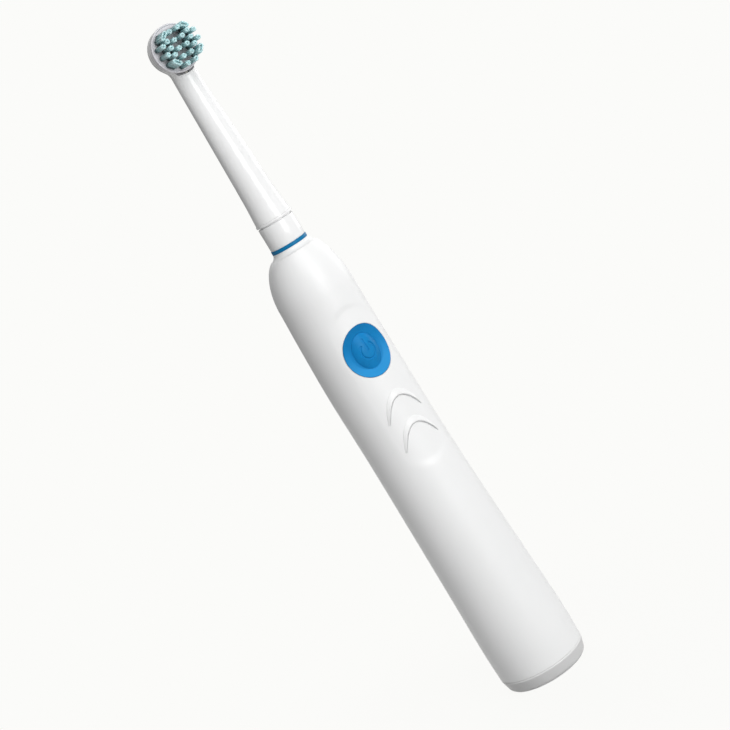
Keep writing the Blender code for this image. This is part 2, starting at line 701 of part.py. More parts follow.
def make_circuit_board():
    half = BOARD_WIDTH / 2
    low = (-half, BOARD_FRONT, BOARD_BASE)
    high = (half, BOARD_BACK, BOARD_BASE + BOARD_LENGTH)
    board = piece("circuit_board", block(low, high), "green_board")
    for x, z in board_screw_places().values():
        cut(board, rod_along_y(SCREW_RADIUS + GAP, BOARD_FRONT - GAP, BOARD_BACK + GAP, x, z))
    chip_back = BOARD_FRONT - SKIN_GAP
    chip_base = BOARD_BASE + BOARD_WIDTH / 2
    low = (-CHIP_SIZE / 2, chip_back - CHIP_HEIGHT, chip_base)
    high = (CHIP_SIZE / 2, chip_back, chip_base + CHIP_SIZE)
    piece("controller_chip", block(low, high), "black_plastic")


def screw_profile(head, point):
    """A screw from its head's outer face to its point, as a (radius, level) profile."""
    step = 1 if point > head else -1
    under_head = head + step * SCREW_HEAD_HEIGHT
    return [
        (0.0, head),
        (SCREW_HEAD_RADIUS, head),
        (SCREW_HEAD_RADIUS, under_head),
        (SCREW_RADIUS, under_head),
        (SCREW_RADIUS, point),
        (0.0, point),
    ]


def make_board_screws():
    head = BOARD_FRONT - SKIN_GAP / 2 - SCREW_HEAD_HEIGHT
    profile = screw_profile(head, head + SCREW_HEAD_HEIGHT + SCREW_LENGTH)
    for name, (x, z) in board_screw_places().items():
        piece(name, turned_along_y(profile, SMALL_SIDES, x, z, loop=False), "steel")


# Charging coil and battery

def make_charging_coil():
    hub_inner = WELL_RADIUS + WELL_WALL + GAP
    hub_outer = hub_inner + BOBBIN_WALL
    low_flange = BOBBIN_BASE + BOBBIN_WALL
    high_flange = BOBBIN_TOP - BOBBIN_WALL
    bobbin = [
        (hub_inner, BOBBIN_BASE),
        (BOBBIN_RADIUS, BOBBIN_BASE),
        (BOBBIN_RADIUS, low_flange),
        (hub_outer, low_flange),
        (hub_outer, high_flange),
        (BOBBIN_RADIUS, high_flange),
        (BOBBIN_RADIUS, BOBBIN_TOP),
        (hub_inner, BOBBIN_TOP),
    ]
    piece("coil_bobbin", turned(bobbin), "natural_plastic")
    winding = [
        (hub_outer + GAP, low_flange + GAP),
        (BOBBIN_RADIUS - COIL_INSET, low_flange + GAP),
        (BOBBIN_RADIUS - COIL_INSET, high_flange - GAP),
        (hub_outer + GAP, high_flange - GAP),
    ]
    piece("charging_coil", turned(winding), "copper_wire")


def make_battery():
    round_off = 0.6 * MM
    can_top = BATTERY_TOP - TERMINAL_HEIGHT
    profile = [
        (0.0, BATTERY_BASE),
        (BATTERY_RADIUS - round_off, BATTERY_BASE),
        (BATTERY_RADIUS, BATTERY_BASE + round_off),
        (BATTERY_RADIUS, can_top - round_off),
        (BATTERY_RADIUS - round_off, can_top),
        (TERMINAL_RADIUS, can_top),
        (TERMINAL_RADIUS, BATTERY_TOP),
        (0.0, BATTERY_TOP),
    ]
    piece("battery_cell", turned(profile, y=BATTERY_SET_BACK, loop=False), "battery_sleeve")
    tab_levels = {
        "battery_tab_lower": BATTERY_BASE - GAP - TAB_THICKNESS,
        "battery_tab_upper": BATTERY_TOP + GAP,
    }
    for name, level in tab_levels.items():
        low = (-TAB_LENGTH / 2, BATTERY_SET_BACK - TAB_WIDTH / 2, level)
        high = (TAB_LENGTH / 2, BATTERY_SET_BACK + TAB_WIDTH / 2, level + TAB_THICKNESS)
        piece(name, block(low, high), "nickel")


# Chassis

def chassis_plate(low, thickness, front=-math.inf):
    """A plate that fills the handle, with a flat front where the board passes."""
    high = low + thickness
    rings = []
    for level in (low, high):
        radius = min(handle_radius(low), handle_radius(high)) - HANDLE_WALL - GAP
        rings.append(circle(radius, level, handle_set_back(low), INNER_SIDES, front))
    return skinned(rings)


def motor_screw_places():
    return {
        "motor_screw_side": (-MOTOR_SCREW_OFFSET, MOTOR_Y),
        "motor_screw_rear": (0.0, MOTOR_Y + MOTOR_SCREW_OFFSET),
    }


def make_chassis():
    chassis = piece("chassis", chassis_plate(CHASSIS_BASE, FLOOR_THICKNESS), "natural_plastic")
    for side in (-1, 1):
        add(chassis, rod(RAIL_RADIUS, CHASSIS_BASE + GAP, SHAFT_DECK_TOP - GAP, side * RAIL_X, RAIL_Y))
    add(
        chassis,
        chassis_plate(MOTOR_FLOOR, FLOOR_THICKNESS, CHASSIS_FRONT),
        chassis_plate(MOTOR_DECK, DECK_THICKNESS, CHASSIS_FRONT),
        chassis_plate(SHAFT_DECK, DECK_THICKNESS, CHASSIS_FRONT),
    )
    deck = (MOTOR_DECK - GAP, MOTOR_DECK_TOP + GAP)
    cut(
        chassis,
        rod(MOTOR_SHAFT_RADIUS + RUNNING_GAP, *deck, 0.0, MOTOR_Y),
        rod(GEAR_AXLE_RADIUS + GAP, *deck, GEAR_AXLE_X, GEAR_AXLE_Y),
        rod(BUSH_BORE + BUSH_WALL + GAP, SHAFT_DECK - GAP, SHAFT_DECK_TOP + GAP, sides=INNER_SIDES),
    )
    for x, y in motor_screw_places().values():
        cut(chassis, rod(SCREW_RADIUS + GAP, *deck, x, y))
    for x, z in board_screw_places().values():
        reach = BOARD_FRONT + SCREW_LENGTH + GAP
        cut(chassis, rod_along_y(SCREW_RADIUS + GAP, CHASSIS_FRONT - GAP, reach, x, z))


# Motor

def make_motor():
    roof = MOTOR_TOP - MOTOR_WALL
    can = [
        (MOTOR_RADIUS, MOTOR_BASE),
        (MOTOR_RADIUS, MOTOR_TOP),
        (MOTOR_SHAFT_RADIUS + GAP, MOTOR_TOP),
        (MOTOR_SHAFT_RADIUS + GAP, roof),
        (MOTOR_RADIUS - MOTOR_WALL, roof),
        (MOTOR_RADIUS - MOTOR_WALL, MOTOR_BASE),
    ]
    motor_can = piece("motor_can", turned(can, y=MOTOR_Y), "steel")
    for x, y in motor_screw_places().values():
        cut(motor_can, rod(SCREW_RADIUS + GAP, roof - GAP, MOTOR_TOP + GAP, x, y))
    bell = [
        (MOTOR_SHAFT_RADIUS + GAP, BELL_BASE),
        (MOTOR_RADIUS, BELL_BASE),
        (MOTOR_RADIUS, BELL_BASE + END_BELL_LENGTH),
        (MOTOR_SHAFT_RADIUS + GAP, BELL_BASE + END_BELL_LENGTH),
    ]
    piece("motor_end_bell", turned(bell, y=MOTOR_Y), "black_plastic")
    middle = (MOTOR_BASE + roof) / 2
    half = ARMATURE_LENGTH / 2
    shaft_hole = MOTOR_SHAFT_RADIUS + SKIN_GAP
    armature = [
        (shaft_hole, middle - half),
        (ARMATURE_RADIUS, middle - half),
        (ARMATURE_RADIUS, middle + half),
        (shaft_hole, middle + half),
    ]
    piece("motor_armature", turned(armature, y=MOTOR_Y), "copper_wire")
    shaft = rod(MOTOR_SHAFT_RADIUS, BELL_BASE + GAP, MOTOR_SHAFT_TOP, 0.0, MOTOR_Y)
    piece("motor_shaft", shaft, "steel")
    for name, side in (("motor_magnet_left", math.pi), ("motor_magnet_right", 0.0)):
        piece(name, magnet(side, middle - half, middle + half), "magnet")
    head = MOTOR_DECK_TOP + SKIN_GAP / 2 + SCREW_HEAD_HEIGHT
    profile = screw_profile(head, head - SCREW_HEAD_HEIGHT - SCREW_LENGTH)
    for name, (x, y) in motor_screw_places().items():
        piece(name, turned(profile, SMALL_SIDES, x, y, loop=False), "steel")


def magnet(side, low, high, steps=12):
    outer = MOTOR_RADIUS - MOTOR_WALL - GAP
    inner = outer - MAGNET_THICKNESS
    points = []
    for radius, sign in ((outer, 1), (inner, -1)):
        for index in range(steps + 1):
            turn = side + sign * MAGNET_HALF_ANGLE * (2 * index / steps - 1)
            points.append((radius * math.cos(turn), MOTOR_Y + radius * math.sin(turn)))
    return prism(points, low, high)


# Gear train and lever

def gear_outline(teeth, x, y, first_tooth):
    """A spur gear's outline, with slim teeth that clear their mates as they roll."""
    pitch_radius = GEAR_MODULE * teeth / 2
    half_tooth = TOOTH_SHARE * math.pi / teeth
    root = pitch_radius - TOOTH_DEDENDUM * GEAR_MODULE
    tip = pitch_radius + TOOTH_ADDENDUM * GEAR_MODULE
    flank = ((root, -1.4), (pitch_radius, -1.0), (tip, -0.5), (tip, 0.5), (pitch_radius, 1.0), (root, 1.4))
    points = []
    for tooth in range(teeth):
        middle = first_tooth + 2 * math.pi * tooth / teeth
        for radius, side in flank:
            angle = middle + side * half_tooth
            points.append((x + radius * math.cos(angle), y + radius * math.sin(angle)))
    return points


def make_gears():
    towards_gear = math.atan2(GEAR_AXLE_Y - MOTOR_Y, GEAR_AXLE_X)
    pinion = prism(gear_outline(PINION_TEETH, 0.0, MOTOR_Y, towards_gear), GEAR_BASE - GAP, GEAR_TOP + GAP)
    drive_pinion = piece("drive_pinion", pinion, "brass")
    bore = MOTOR_SHAFT_RADIUS + SKIN_GAP
    cut(drive_pinion, rod(bore, GEAR_BASE - 2 * GAP, GEAR_TOP + 2 * GAP, 0.0, MOTOR_Y))
    facing_gap = towards_gear + math.pi + math.pi / GEAR_TEETH
    outline = gear_outline(GEAR_TEETH, GEAR_AXLE_X, GEAR_AXLE_Y, facing_gap)
    crank_gear = piece("crank_gear", prism(outline, GEAR_BASE, GEAR_TOP), "natural_plastic")
    pin_x = GEAR_AXLE_X + CRANK_RADIUS * math.cos(LEVER_ANGLE)
    pin_y = GEAR_AXLE_Y + CRANK_RADIUS * math.sin(LEVER_ANGLE)
    add(crank_gear, rod(CRANK_PIN_RADIUS, GEAR_TOP - GAP, CRANK_PIN_TOP, pin_x, pin_y))
    gear_bore = GEAR_AXLE_RADIUS + SKIN_GAP
    cut(crank_gear, rod(gear_bore, GEAR_BASE - GAP, GEAR_TOP + GAP, GEAR_AXLE_X, GEAR_AXLE_Y))
    axle_profile = [
        (0.0, MOTOR_DECK + SKIN_GAP),
        (GEAR_AXLE_RADIUS, MOTOR_DECK + SKIN_GAP),
        (GEAR_AXLE_RADIUS, GEAR_TOP + SKIN_GAP),
        (0.0, GEAR_TOP + SKIN_GAP),
    ]
    axle = turned(axle_profile, SMALL_SIDES, GEAR_AXLE_X, GEAR_AXLE_Y, loop=False)
    piece("gear_axle", axle, "steel")


def make_rocker_lever():
    slot_half_width = CRANK_PIN_RADIUS + RUNNING_GAP
    slot_start = math.hypot(AXLE_DISTANCE, CRANK_RADIUS)
    slot_end = AXLE_DISTANCE + CRANK_RADIUS
    arm = stadium(slot_end, slot_half_width + LEVER_SIDE, LEVER_ANGLE)
    lever = piece("rocker_lever", prism(arm, LEVER_BASE, LEVER_TOP), "natural_plastic")
    add(lever, rod(LEVER_HUB_RADIUS, LEVER_BASE - GAP, LEVER_TOP + GAP, sides=INNER_SIDES))
    start = (slot_start * math.cos(LEVER_ANGLE), slot_start * math.sin(LEVER_ANGLE))
    slot = stadium(slot_end - slot_start, slot_half_width, LEVER_ANGLE, start)
    cut(
        lever,
        prism(slot, LEVER_BASE - 2 * GAP, LEVER_TOP + 2 * GAP),
        rod(SHAFT_RADIUS + SKIN_GAP, LEVER_BASE - 2 * GAP, LEVER_TOP + 2 * GAP),
    )


# Drive shaft, bushes and seal

def keyed_circle(radius, z, flat=0.0, sides=INNER_SIDES):
    """A ring whose front is cut flat, so that it turns what fits round it."""
    return circle(radius, z, sides=sides, front=-(radius - flat) if flat else -math.inf)


def make_drive_shaft():
    key_base = SPIGOT_TOP - GAP
    rings = [
        keyed_circle(SHAFT_RADIUS, LEVER_BASE - 2 * GAP),
        keyed_circle(SHAFT_RADIUS, SEAL_BASE - GAP),
        keyed_circle(SPINDLE_RADIUS, SEAL_BASE),
        keyed_circle(SPINDLE_RADIUS, key_base),
        keyed_circle(SPINDLE_RADIUS, key_base + SKIN_GAP, SPINDLE_FLAT),
        keyed_circle(SPINDLE_RADIUS, SPINDLE_TOP - GAP, SPINDLE_FLAT),
        keyed_circle(SPINDLE_RADIUS - GAP, SPINDLE_TOP, SPINDLE_FLAT - GAP),
    ]
    piece("drive_shaft", skinned(rings), "steel")


def make_bushes_and_seal():
    outer = BUSH_BORE + BUSH_WALL
    flange = SHAFT_DECK_TOP + SKIN_GAP
    lower = [
        (BUSH_BORE, SHAFT_DECK),
        (outer, SHAFT_DECK),
        (outer, flange),
        (outer + 2 * GAP, flange),
        (outer + 2 * GAP, flange + BUSH_FLANGE),
        (BUSH_BORE, flange + BUSH_FLANGE),
    ]
    piece("lower_bush", turned(lower), "brass")
    upper = [
        (BUSH_BORE, UPPER_BUSH_BASE),
        (SEAL_RADIUS, UPPER_BUSH_BASE),
        (SEAL_RADIUS, UPPER_BUSH_BASE + BUSH_LENGTH),
        (BUSH_BORE, UPPER_BUSH_BASE + BUSH_LENGTH),
    ]
    piece("upper_bush", turned(upper), "brass")
    seal_top = SEAL_BASE + SEAL_LENGTH
    lip = SEAL_BORE + SEAL_WALL / 2
    seal = [
        (SEAL_BORE, SEAL_BASE + GAP),
        (SEAL_RADIUS, SEAL_BASE + GAP),
        (SEAL_RADIUS, seal_top),
        (lip, seal_top),
        (lip, SEAL_BASE + SEAL_LENGTH / 2),
        (SEAL_BORE, SEAL_BASE + SEAL_LENGTH / 2),
    ]
    piece("shaft_seal", turned(seal), "black_rubber")


# Brush head

def make_neck_collar_and_ring():
    ring = [
        (RING_RADIUS - RING_WALL, RING_BASE),
        (RING_RADIUS, RING_BASE),
        (RING_RADIUS, RING_BASE + RING_HEIGHT),
        (RING_RADIUS - RING_WALL, RING_BASE + RING_HEIGHT),
    ]
    piece("color_ring", turned(ring, SIDES), "blue_plastic")
    spigot = RING_RADIUS - RING_WALL - SKIN_GAP
    flange_base = NECK_COLLAR_TOP - FLANGE_THICKNESS
    groove_radius = NECK_COLLAR_RADIUS - FLANGE_GROOVE_DEPTH
    collar = [
        (NECK_COLLAR_BORE, RING_BASE),
        (spigot, RING_BASE),
        (spigot, NECK_COLLAR_BASE),
        (NECK_COLLAR_RADIUS, NECK_COLLAR_BASE),
        (NECK_COLLAR_RADIUS, flange_base - FLANGE_GROOVE_HEIGHT),
        (groove_radius, flange_base - FLANGE_GROOVE_HEIGHT / 2),
        (groove_radius, flange_base),
        (FLANGE_RADIUS, flange_base),
        (FLANGE_RADIUS, NECK_COLLAR_TOP),
        (NECK_SPIGOT_RADIUS, NECK_COLLAR_TOP),
        (NECK_SPIGOT_RADIUS, SPIGOT_TOP),
        (NECK_COLLAR_BORE, SPIGOT_TOP),
    ]
    piece("neck_collar", turned(collar, SIDES), "white_plastic")


def neck_rings(steps=9):
    rings = []
    for index in range(steps + 1):
        share = index / steps
        radius = smooth_value(NECK_OUTLINE, share, 1)
        set_back = smooth_value(NECK_OUTLINE, share, 2)
        rings.append(circle(radius, NECK_BASE + share * NECK_LENGTH, set_back))
    return rings


def head_profile(radius, back, front, steps=6):
    """A cup round the pivot, with a flat front and a rounded back."""
    profile = [(0.0, front), (radius, front)]
    for index in range(steps):
        turn = math.pi / 2 * index / steps
        across = radius * math.cos(turn) ** 0.8
        profile.append((across, back - HEAD_BACK_ROUND * (1 - math.sin(turn))))
    profile.append((0.0, back))
    return profile


def make_head_shell():
    shell = piece("head_shell", skinned(neck_rings()), "white_plastic")
    outer = head_profile(HEAD_RADIUS, HEAD_BACK, HEAD_FRONT - GAP)
    inner = head_profile(HEAD_RADIUS - HEAD_WALL, HEAD_BACK - HEAD_WALL, HEAD_FRONT - NECK_OUTLINE[0][1])
    add(shell, turned_along_y(outer, z=PIVOT_HEIGHT, loop=False))
    socket_top = SPINDLE_TOP + 4 * GAP + ROD_SOCKET_WALL
    bore_top = PIVOT_HEIGHT - HEAD_RADIUS / 2
    disc_space = DISC_RADIUS + RUNNING_GAP
    cut(
        shell,
        rod_along_y(disc_space, -DISC_FACE - GAP, HEAD_FRONT, z=PIVOT_HEIGHT, sides=SIDES),
        turned_along_y(inner, z=PIVOT_HEIGHT, loop=False),
        rod(NECK_SPIGOT_RADIUS + GAP, NECK_BASE - GAP, SPIGOT_TOP + GAP, sides=INNER_SIDES),
        rod(ROD_SOCKET_RADIUS + RUNNING_GAP, SPIGOT_TOP, socket_top, sides=INNER_SIDES),
        rod(NECK_BORE_RADIUS, socket_top - GAP, bore_top, 0.0, NECK_BORE_SET_BACK, sides=INNER_SIDES),
    )
    boss_back = HEAD_BACK - HEAD_WALL / 2
    boss_front = HEAD_BACK - HEAD_WALL - PIVOT_BOSS_LENGTH
    add(shell, rod_along_y(PIVOT_BOSS_RADIUS, boss_front, boss_back, z=PIVOT_HEIGHT))
    cut(shell, rod_along_y(PIVOT_RADIUS + GAP, boss_front - GAP, boss_back, z=PIVOT_HEIGHT))
    pin_front = HEAD_FRONT + 2 * GAP
    pin = rod_along_y(PIVOT_RADIUS, pin_front, boss_back - SKIN_GAP, z=PIVOT_HEIGHT)
    piece("disc_pivot_pin", pin, "steel")


def make_crank_rod():
    base = SPIGOT_TOP + GAP
    bore_top = SPINDLE_TOP + GAP
    socket_top = bore_top + ROD_SOCKET_WALL
    web_base = BALL_HEIGHT - ROD_WEB_BELOW_BALL - ROD_WEB_THICKNESS
    web_top = web_base + ROD_WEB_THICKNESS
    bore = SPINDLE_RADIUS + GAP
    rings = [
        [Vector((0.0, 0.0, bore_top))],
        keyed_circle(bore, bore_top, SPINDLE_FLAT),
        keyed_circle(bore, base, SPINDLE_FLAT),
        keyed_circle(ROD_SOCKET_RADIUS, base),
        keyed_circle(ROD_SOCKET_RADIUS, socket_top),
        keyed_circle(ROD_RADIUS, socket_top + ROD_RADIUS),
        keyed_circle(ROD_RADIUS, web_top),
        [Vector((0.0, 0.0, web_top))],
    ]
    crank_rod = piece("head_crank_rod", skinned(rings), "natural_plastic")
    ball_steps = 6
    ball = [(0.0, BALL_HEIGHT - ROD_BALL_RADIUS)]
    for index in range(1, ball_steps):
        turn = -math.pi / 2 + math.pi * index / ball_steps
        ball.append((ROD_BALL_RADIUS * math.cos(turn), BALL_HEIGHT + ROD_BALL_RADIUS * math.sin(turn)))
    ball.append((0.0, BALL_HEIGHT + ROD_BALL_RADIUS))
    web = stadium(ROD_CRANK, ROD_TIP_RADIUS + GAP, math.pi / 2)
    add(
        crank_rod,
        prism(web, web_base, web_top - SKIN_GAP),
        rod(ROD_TIP_RADIUS, web_base + SKIN_GAP, BALL_HEIGHT, 0.0, ROD_CRANK),
        turned(ball, SMALL_SIDES, 0.0, ROD_CRANK, loop=False),
    )


def make_brush_disc():
    recess_radius = ROOT_PLATE_RADIUS + SKIN_GAP
    pin_front = HEAD_FRONT + GAP
    hub_back = HEAD_BACK - HEAD_WALL - PIVOT_BOSS_LENGTH - GAP
    bore = PIVOT_RADIUS + GAP
    profile = [
        (0.0, DISC_FACE_DEPTH - DISC_FACE),
        (recess_radius, DISC_FACE_DEPTH - DISC_FACE),
        (recess_radius, -DISC_FACE),
        (DISC_RADIUS - DISC_EDGE_ROUND, -DISC_FACE),
        (DISC_RADIUS, DISC_EDGE_ROUND - DISC_FACE),
        (DISC_RADIUS, DISC_BACK),
        (DISC_HUB_RADIUS, DISC_BACK),
        (DISC_HUB_RADIUS, hub_back),
        (bore, hub_back),
        (bore, pin_front),
        (0.0, pin_front),
    ]
    disc = piece("brush_disc", turned_along_y(profile, z=PIVOT_HEIGHT, loop=False), "white_plastic")
    fork_half_width = SLOT_HALF_WIDTH + ROD_TIP_RADIUS + GAP
    fork_front = ROD_CRANK - ROD_BALL_RADIUS - RUNNING_GAP
    fork_base = BALL_HEIGHT - ROD_BALL_RADIUS - GAP
    slot_top = BALL_HEIGHT + ROD_BALL_RADIUS + RUNNING_GAP
    slot_base = fork_base - 4 * GAP
    add(disc, block((-fork_half_width, fork_front - GAP, fork_base),
                    (fork_half_width, hub_back - SKIN_GAP, slot_top)))
    cut(disc, block((-SLOT_HALF_WIDTH, fork_front, slot_base), (SLOT_HALF_WIDTH, HEAD_BACK, slot_top)))


def tuft_outlines():
    """The round tufts in rows on each side of the middle line, and four long ones at the rim."""
    outlines = []
    for side in (-1, 1):
        for across, heights in TUFT_ROWS:
            for height in heights:
                outlines.append(stadium(0.0, TUFT_RADIUS, 0.0, (side * across, height), steps=4))
        for angle in ARC_TUFT_ANGLES:
            turn = angle if side > 0 else math.pi - angle
            tangent = turn + math.pi / 2
            start = (ARC_TUFT_RADIUS * math.cos(turn) - ARC_TUFT_HALF_LENGTH * math.cos(tangent),
                     ARC_TUFT_RADIUS * math.sin(turn) - ARC_TUFT_HALF_LENGTH * math.sin(tangent))
            length = 2 * ARC_TUFT_HALF_LENGTH
            outlines.append(stadium(length, TUFT_RADIUS, tangent, start, steps=4))
    return outlines


def make_tufts():
    """The bristle tufts, fused at their roots into one plate behind the disc's face."""
    plate_back = DISC_FACE_DEPTH - DISC_FACE - SKIN_GAP
    plate_front = plate_back - ROOT_PLATE_THICKNESS
    plate = rod_along_y(ROOT_PLATE_RADIUS, plate_front, plate_back, z=PIVOT_HEIGHT, sides=SIDES)
    tufts = piece("bristle_tufts", plate, "aqua_bristle")
    tip = -DISC_FACE - TUFT_LENGTH
    for outline in tuft_outlines():
        root = plate_back - ROOT_PLATE_THICKNESS / 2
        rings = []
        for level in (tip, root):
            rings.append([Vector((x, level, PIVOT_HEIGHT + z)) for x, z in outline])
        add(tufts, skinned(rings))
    for modifier in tufts.modifiers:
        modifier.solver = "MANIFOLD"


def main():
    for old in list(bpy.data.objects):
        bpy.data.objects.remove(old)
    make_handle_housing()
    make_end_cap()
    make_cap_seal()
    make_handle_collar()
    make_button_bezel()
    make_power_button()
    make_switch()
    make_circuit_board()
    make_board_screws()
    make_charging_coil()
    make_battery()
    make_chassis()
    make_motor()
    make_gears()
    make_rocker_lever()
    make_drive_shaft()
    make_bushes_and_seal()
    make_neck_collar_and_ring()
    make_head_shell()
    make_crank_rod()
    make_brush_disc()
    make_tufts()


main()
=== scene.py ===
"""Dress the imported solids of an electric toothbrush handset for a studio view.

The pieces that show get smooth skins, the brush gets its filaments, and every piece gets a finish
with the grain and wear of the real one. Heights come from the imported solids. The handle's centre
line bows backwards, so most of its rings have a set-back: the +Y shift of their centre.
"""

import json
import math

import bmesh
import bpy
import numpy as np
from mathutils import Matrix, Vector


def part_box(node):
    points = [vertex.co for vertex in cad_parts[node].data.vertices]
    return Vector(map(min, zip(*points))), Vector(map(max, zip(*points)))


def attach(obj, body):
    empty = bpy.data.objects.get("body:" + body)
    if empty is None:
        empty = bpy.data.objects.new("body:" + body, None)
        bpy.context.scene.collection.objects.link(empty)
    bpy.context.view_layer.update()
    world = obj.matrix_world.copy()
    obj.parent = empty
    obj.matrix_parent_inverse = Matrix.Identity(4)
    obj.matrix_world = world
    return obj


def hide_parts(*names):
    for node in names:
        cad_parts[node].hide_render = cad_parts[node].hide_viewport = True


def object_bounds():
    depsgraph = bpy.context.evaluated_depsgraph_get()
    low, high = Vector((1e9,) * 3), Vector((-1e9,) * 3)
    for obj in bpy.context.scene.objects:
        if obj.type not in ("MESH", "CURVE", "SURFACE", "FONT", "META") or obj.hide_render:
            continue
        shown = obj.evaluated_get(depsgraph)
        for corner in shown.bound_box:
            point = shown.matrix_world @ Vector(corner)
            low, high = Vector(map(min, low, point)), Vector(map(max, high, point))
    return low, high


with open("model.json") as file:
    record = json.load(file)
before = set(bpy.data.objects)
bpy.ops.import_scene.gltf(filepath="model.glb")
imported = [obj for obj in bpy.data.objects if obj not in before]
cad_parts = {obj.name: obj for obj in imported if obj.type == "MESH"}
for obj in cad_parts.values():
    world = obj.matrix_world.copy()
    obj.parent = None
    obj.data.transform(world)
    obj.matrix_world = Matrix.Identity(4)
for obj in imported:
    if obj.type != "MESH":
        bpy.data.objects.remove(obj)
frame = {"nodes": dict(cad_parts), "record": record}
CAD_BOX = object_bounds()

MM = 0.001
FULL_TURN = 2 * math.pi
BACKGROUND = (0.965, 0.965, 0.948, 1.0)

# Heights that the solids give
CAP_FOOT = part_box("end_cap")[0].z
HANDLE_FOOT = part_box("handle_housing")[0].z
HANDLE_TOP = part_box("handle_housing")[1].z
COLLAR_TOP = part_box("handle_collar")[1].z
RING_FOOT, RING_TOP = (corner.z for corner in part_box("color_ring"))
SPIGOT_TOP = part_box("neck_collar")[1].z
NECK_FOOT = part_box("head_shell")[0].z
BUTTON_HEIGHT = (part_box("button_bezel")[0].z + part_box("button_bezel")[1].z) / 2
PIVOT_HEIGHT = (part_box("brush_disc")[0].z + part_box("brush_disc")[1].z) / 2
DISC_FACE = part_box("brush_disc")[0].y
TUFT_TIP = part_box("bristle_tufts")[0].y

# Handle
SKIN_GAP = 0.2 * MM
JOINT_LINE = 0.03 * MM            # left open between pieces pressed together
SEAM_HEIGHT = HANDLE_FOOT - SKIN_GAP
BODY_LENGTH = 132.5 * MM
SHOULDER_HEIGHT = SEAM_HEIGHT + BODY_LENGTH
SHOULDER_LENGTH = HANDLE_TOP - SHOULDER_HEIGHT
SHOULDER_FULLNESS = 0.714         # 0.5 would make the shoulder an ellipse
HANDLE_TOP_RADIUS = 7.2 * MM
HANDLE_WALL = 1.6 * MM
WELL_DEPTH = 12.2 * MM            # of the charging well in the foot
SPINDLE_MOUTH = 2.8 * MM          # radius of the hole that the drive spindle comes out of
BODY_OUTLINE = np.array((         # share of the body's length, radius in mm, set-back in mm
    (0.00, 14.30, 0.00),
    (0.08, 14.45, 0.20),
    (0.22, 13.95, 0.90),
    (0.42, 13.25, 2.05),
    (0.61, 12.80, 2.90),
    (0.77, 12.82, 3.40),
    (0.90, 12.55, 3.10),
    (1.00, 12.30, 2.45),
))

# Thumb recess and its grip crescents
RECESS_TOP = BUTTON_HEIGHT + 15.6 * MM
RECESS_FOOT = BUTTON_HEIGHT - 40.1 * MM
RECESS_TOP_RADIUS = 9.5 * MM
RECESS_FOOT_RADIUS = 12.0 * MM
RECESS_HALF_WIDTH = 10.5 * MM
RECESS_DEPTH = 0.36 * MM
RIDGES_BELOW_BUTTON = (16.2 * MM, 25.8 * MM)
RIDGE_HALF_WIDTH = 6.8 * MM
RIDGE_BREADTH = 2.1 * MM
RIDGE_DROP = 6.6 * MM
RIDGE_RISE = 0.5 * MM
CREASE_WIDTH = 0.42 * MM
CREASE_DEPTH = 0.45 * MM

# Button
BEZEL_HALF_WIDTH = 8.1 * MM
BEZEL_HALF_HEIGHT = 8.3 * MM
BEZEL_DEPTH = 1.15 * MM
BEZEL_BACK = 1.75 * MM
DOME_HALF_WIDTH = 5.2 * MM
DOME_HALF_HEIGHT = 5.7 * MM
DOME_RISE = 1.15 * MM
SYMBOL_RADIUS = 2.55 * MM
SYMBOL_STROKE = 0.55 * MM
SYMBOL_BAR_TOP = 3.7 * MM
SYMBOL_GAP = math.radians(38)     # each side of the bar
SYMBOL_DEPTH = 0.26 * MM

# Neck and head
NECK_LENGTH = PIVOT_HEIGHT - NECK_FOOT
NECK_OUTLINE = np.array((         # share of the neck's length, radius in mm, set-back in mm
    (0.00, 5.86, 0.00),
    (0.12, 5.30, 0.35),
    (0.45, 4.60, 0.85),
    (0.80, 3.90, 1.35),
    (0.90, 3.80, 1.10),
    (1.00, 3.40, 0.60),
))
HEAD_RADIUS = 7.05 * MM
HEAD_BACK = 4.5 * MM
HEAD_BACK_ROUND = 3.8 * MM
HEAD_WALL = 0.8 * MM
NECK_FILLET = 1.6 * MM            # between the neck and the head's cup
DISC_RADIUS = 7.4 * MM
DISC_SPACE_RADIUS = DISC_RADIUS + 0.5 * MM
DISC_BACK = DISC_FACE + 1.4 * MM
HEAD_FRONT = DISC_BACK + 0.3 * MM


# Node trees

class Value:
    """A node's output. Arithmetic on it adds Math nodes to its tree."""

    def __init__(self, sheet, socket):
        self.sheet = sheet
        self.socket = socket

    def output(self, name):
        return Value(self.sheet, self.socket.node.outputs[name])

    def math(self, operation, *values):
        return self.sheet.node("ShaderNodeMath", {"operation": operation}, dict(enumerate(values)))

    def __add__(self, other):
        return self.math("ADD", self, other)

    __radd__ = __add__

    def __sub__(self, other):
        return self.math("SUBTRACT", self, other)

    def __rsub__(self, other):
        return self.math("SUBTRACT", other, self)

    def __mul__(self, other):
        return self.math("MULTIPLY", self, other)

    __rmul__ = __mul__

    def __pow__(self, other):
        return self.math("POWER", self, other)

    def sine(self):
        return self.math("SINE", self)

    def most(self, other):
        return self.math("MAXIMUM", self, other)


class Sheet:
    """A node tree while it is being drawn up."""

    def __init__(self, tree):
        self.tree = tree

    def node(self, kind, settings=None, inputs=None, output=0):
        """Add a node: its settings first, then its sockets' values or links."""
        made = self.tree.nodes.new(kind)
        for name, value in (settings or {}).items():
            setattr(made, name, value)
        for key, value in (inputs or {}).items():
            socket = made.inputs[key]
            if isinstance(value, Value):
                self.tree.links.new(value.socket, socket)
            else:
                socket.default_value = value
        return Value(self, made.outputs[output])

    def blend(self, share, first, second):
        """Mix two colors."""
        return self.node("ShaderNodeMix", {"data_type": "RGBA"}, {0: share, 6: first, 7: second}, output=2)


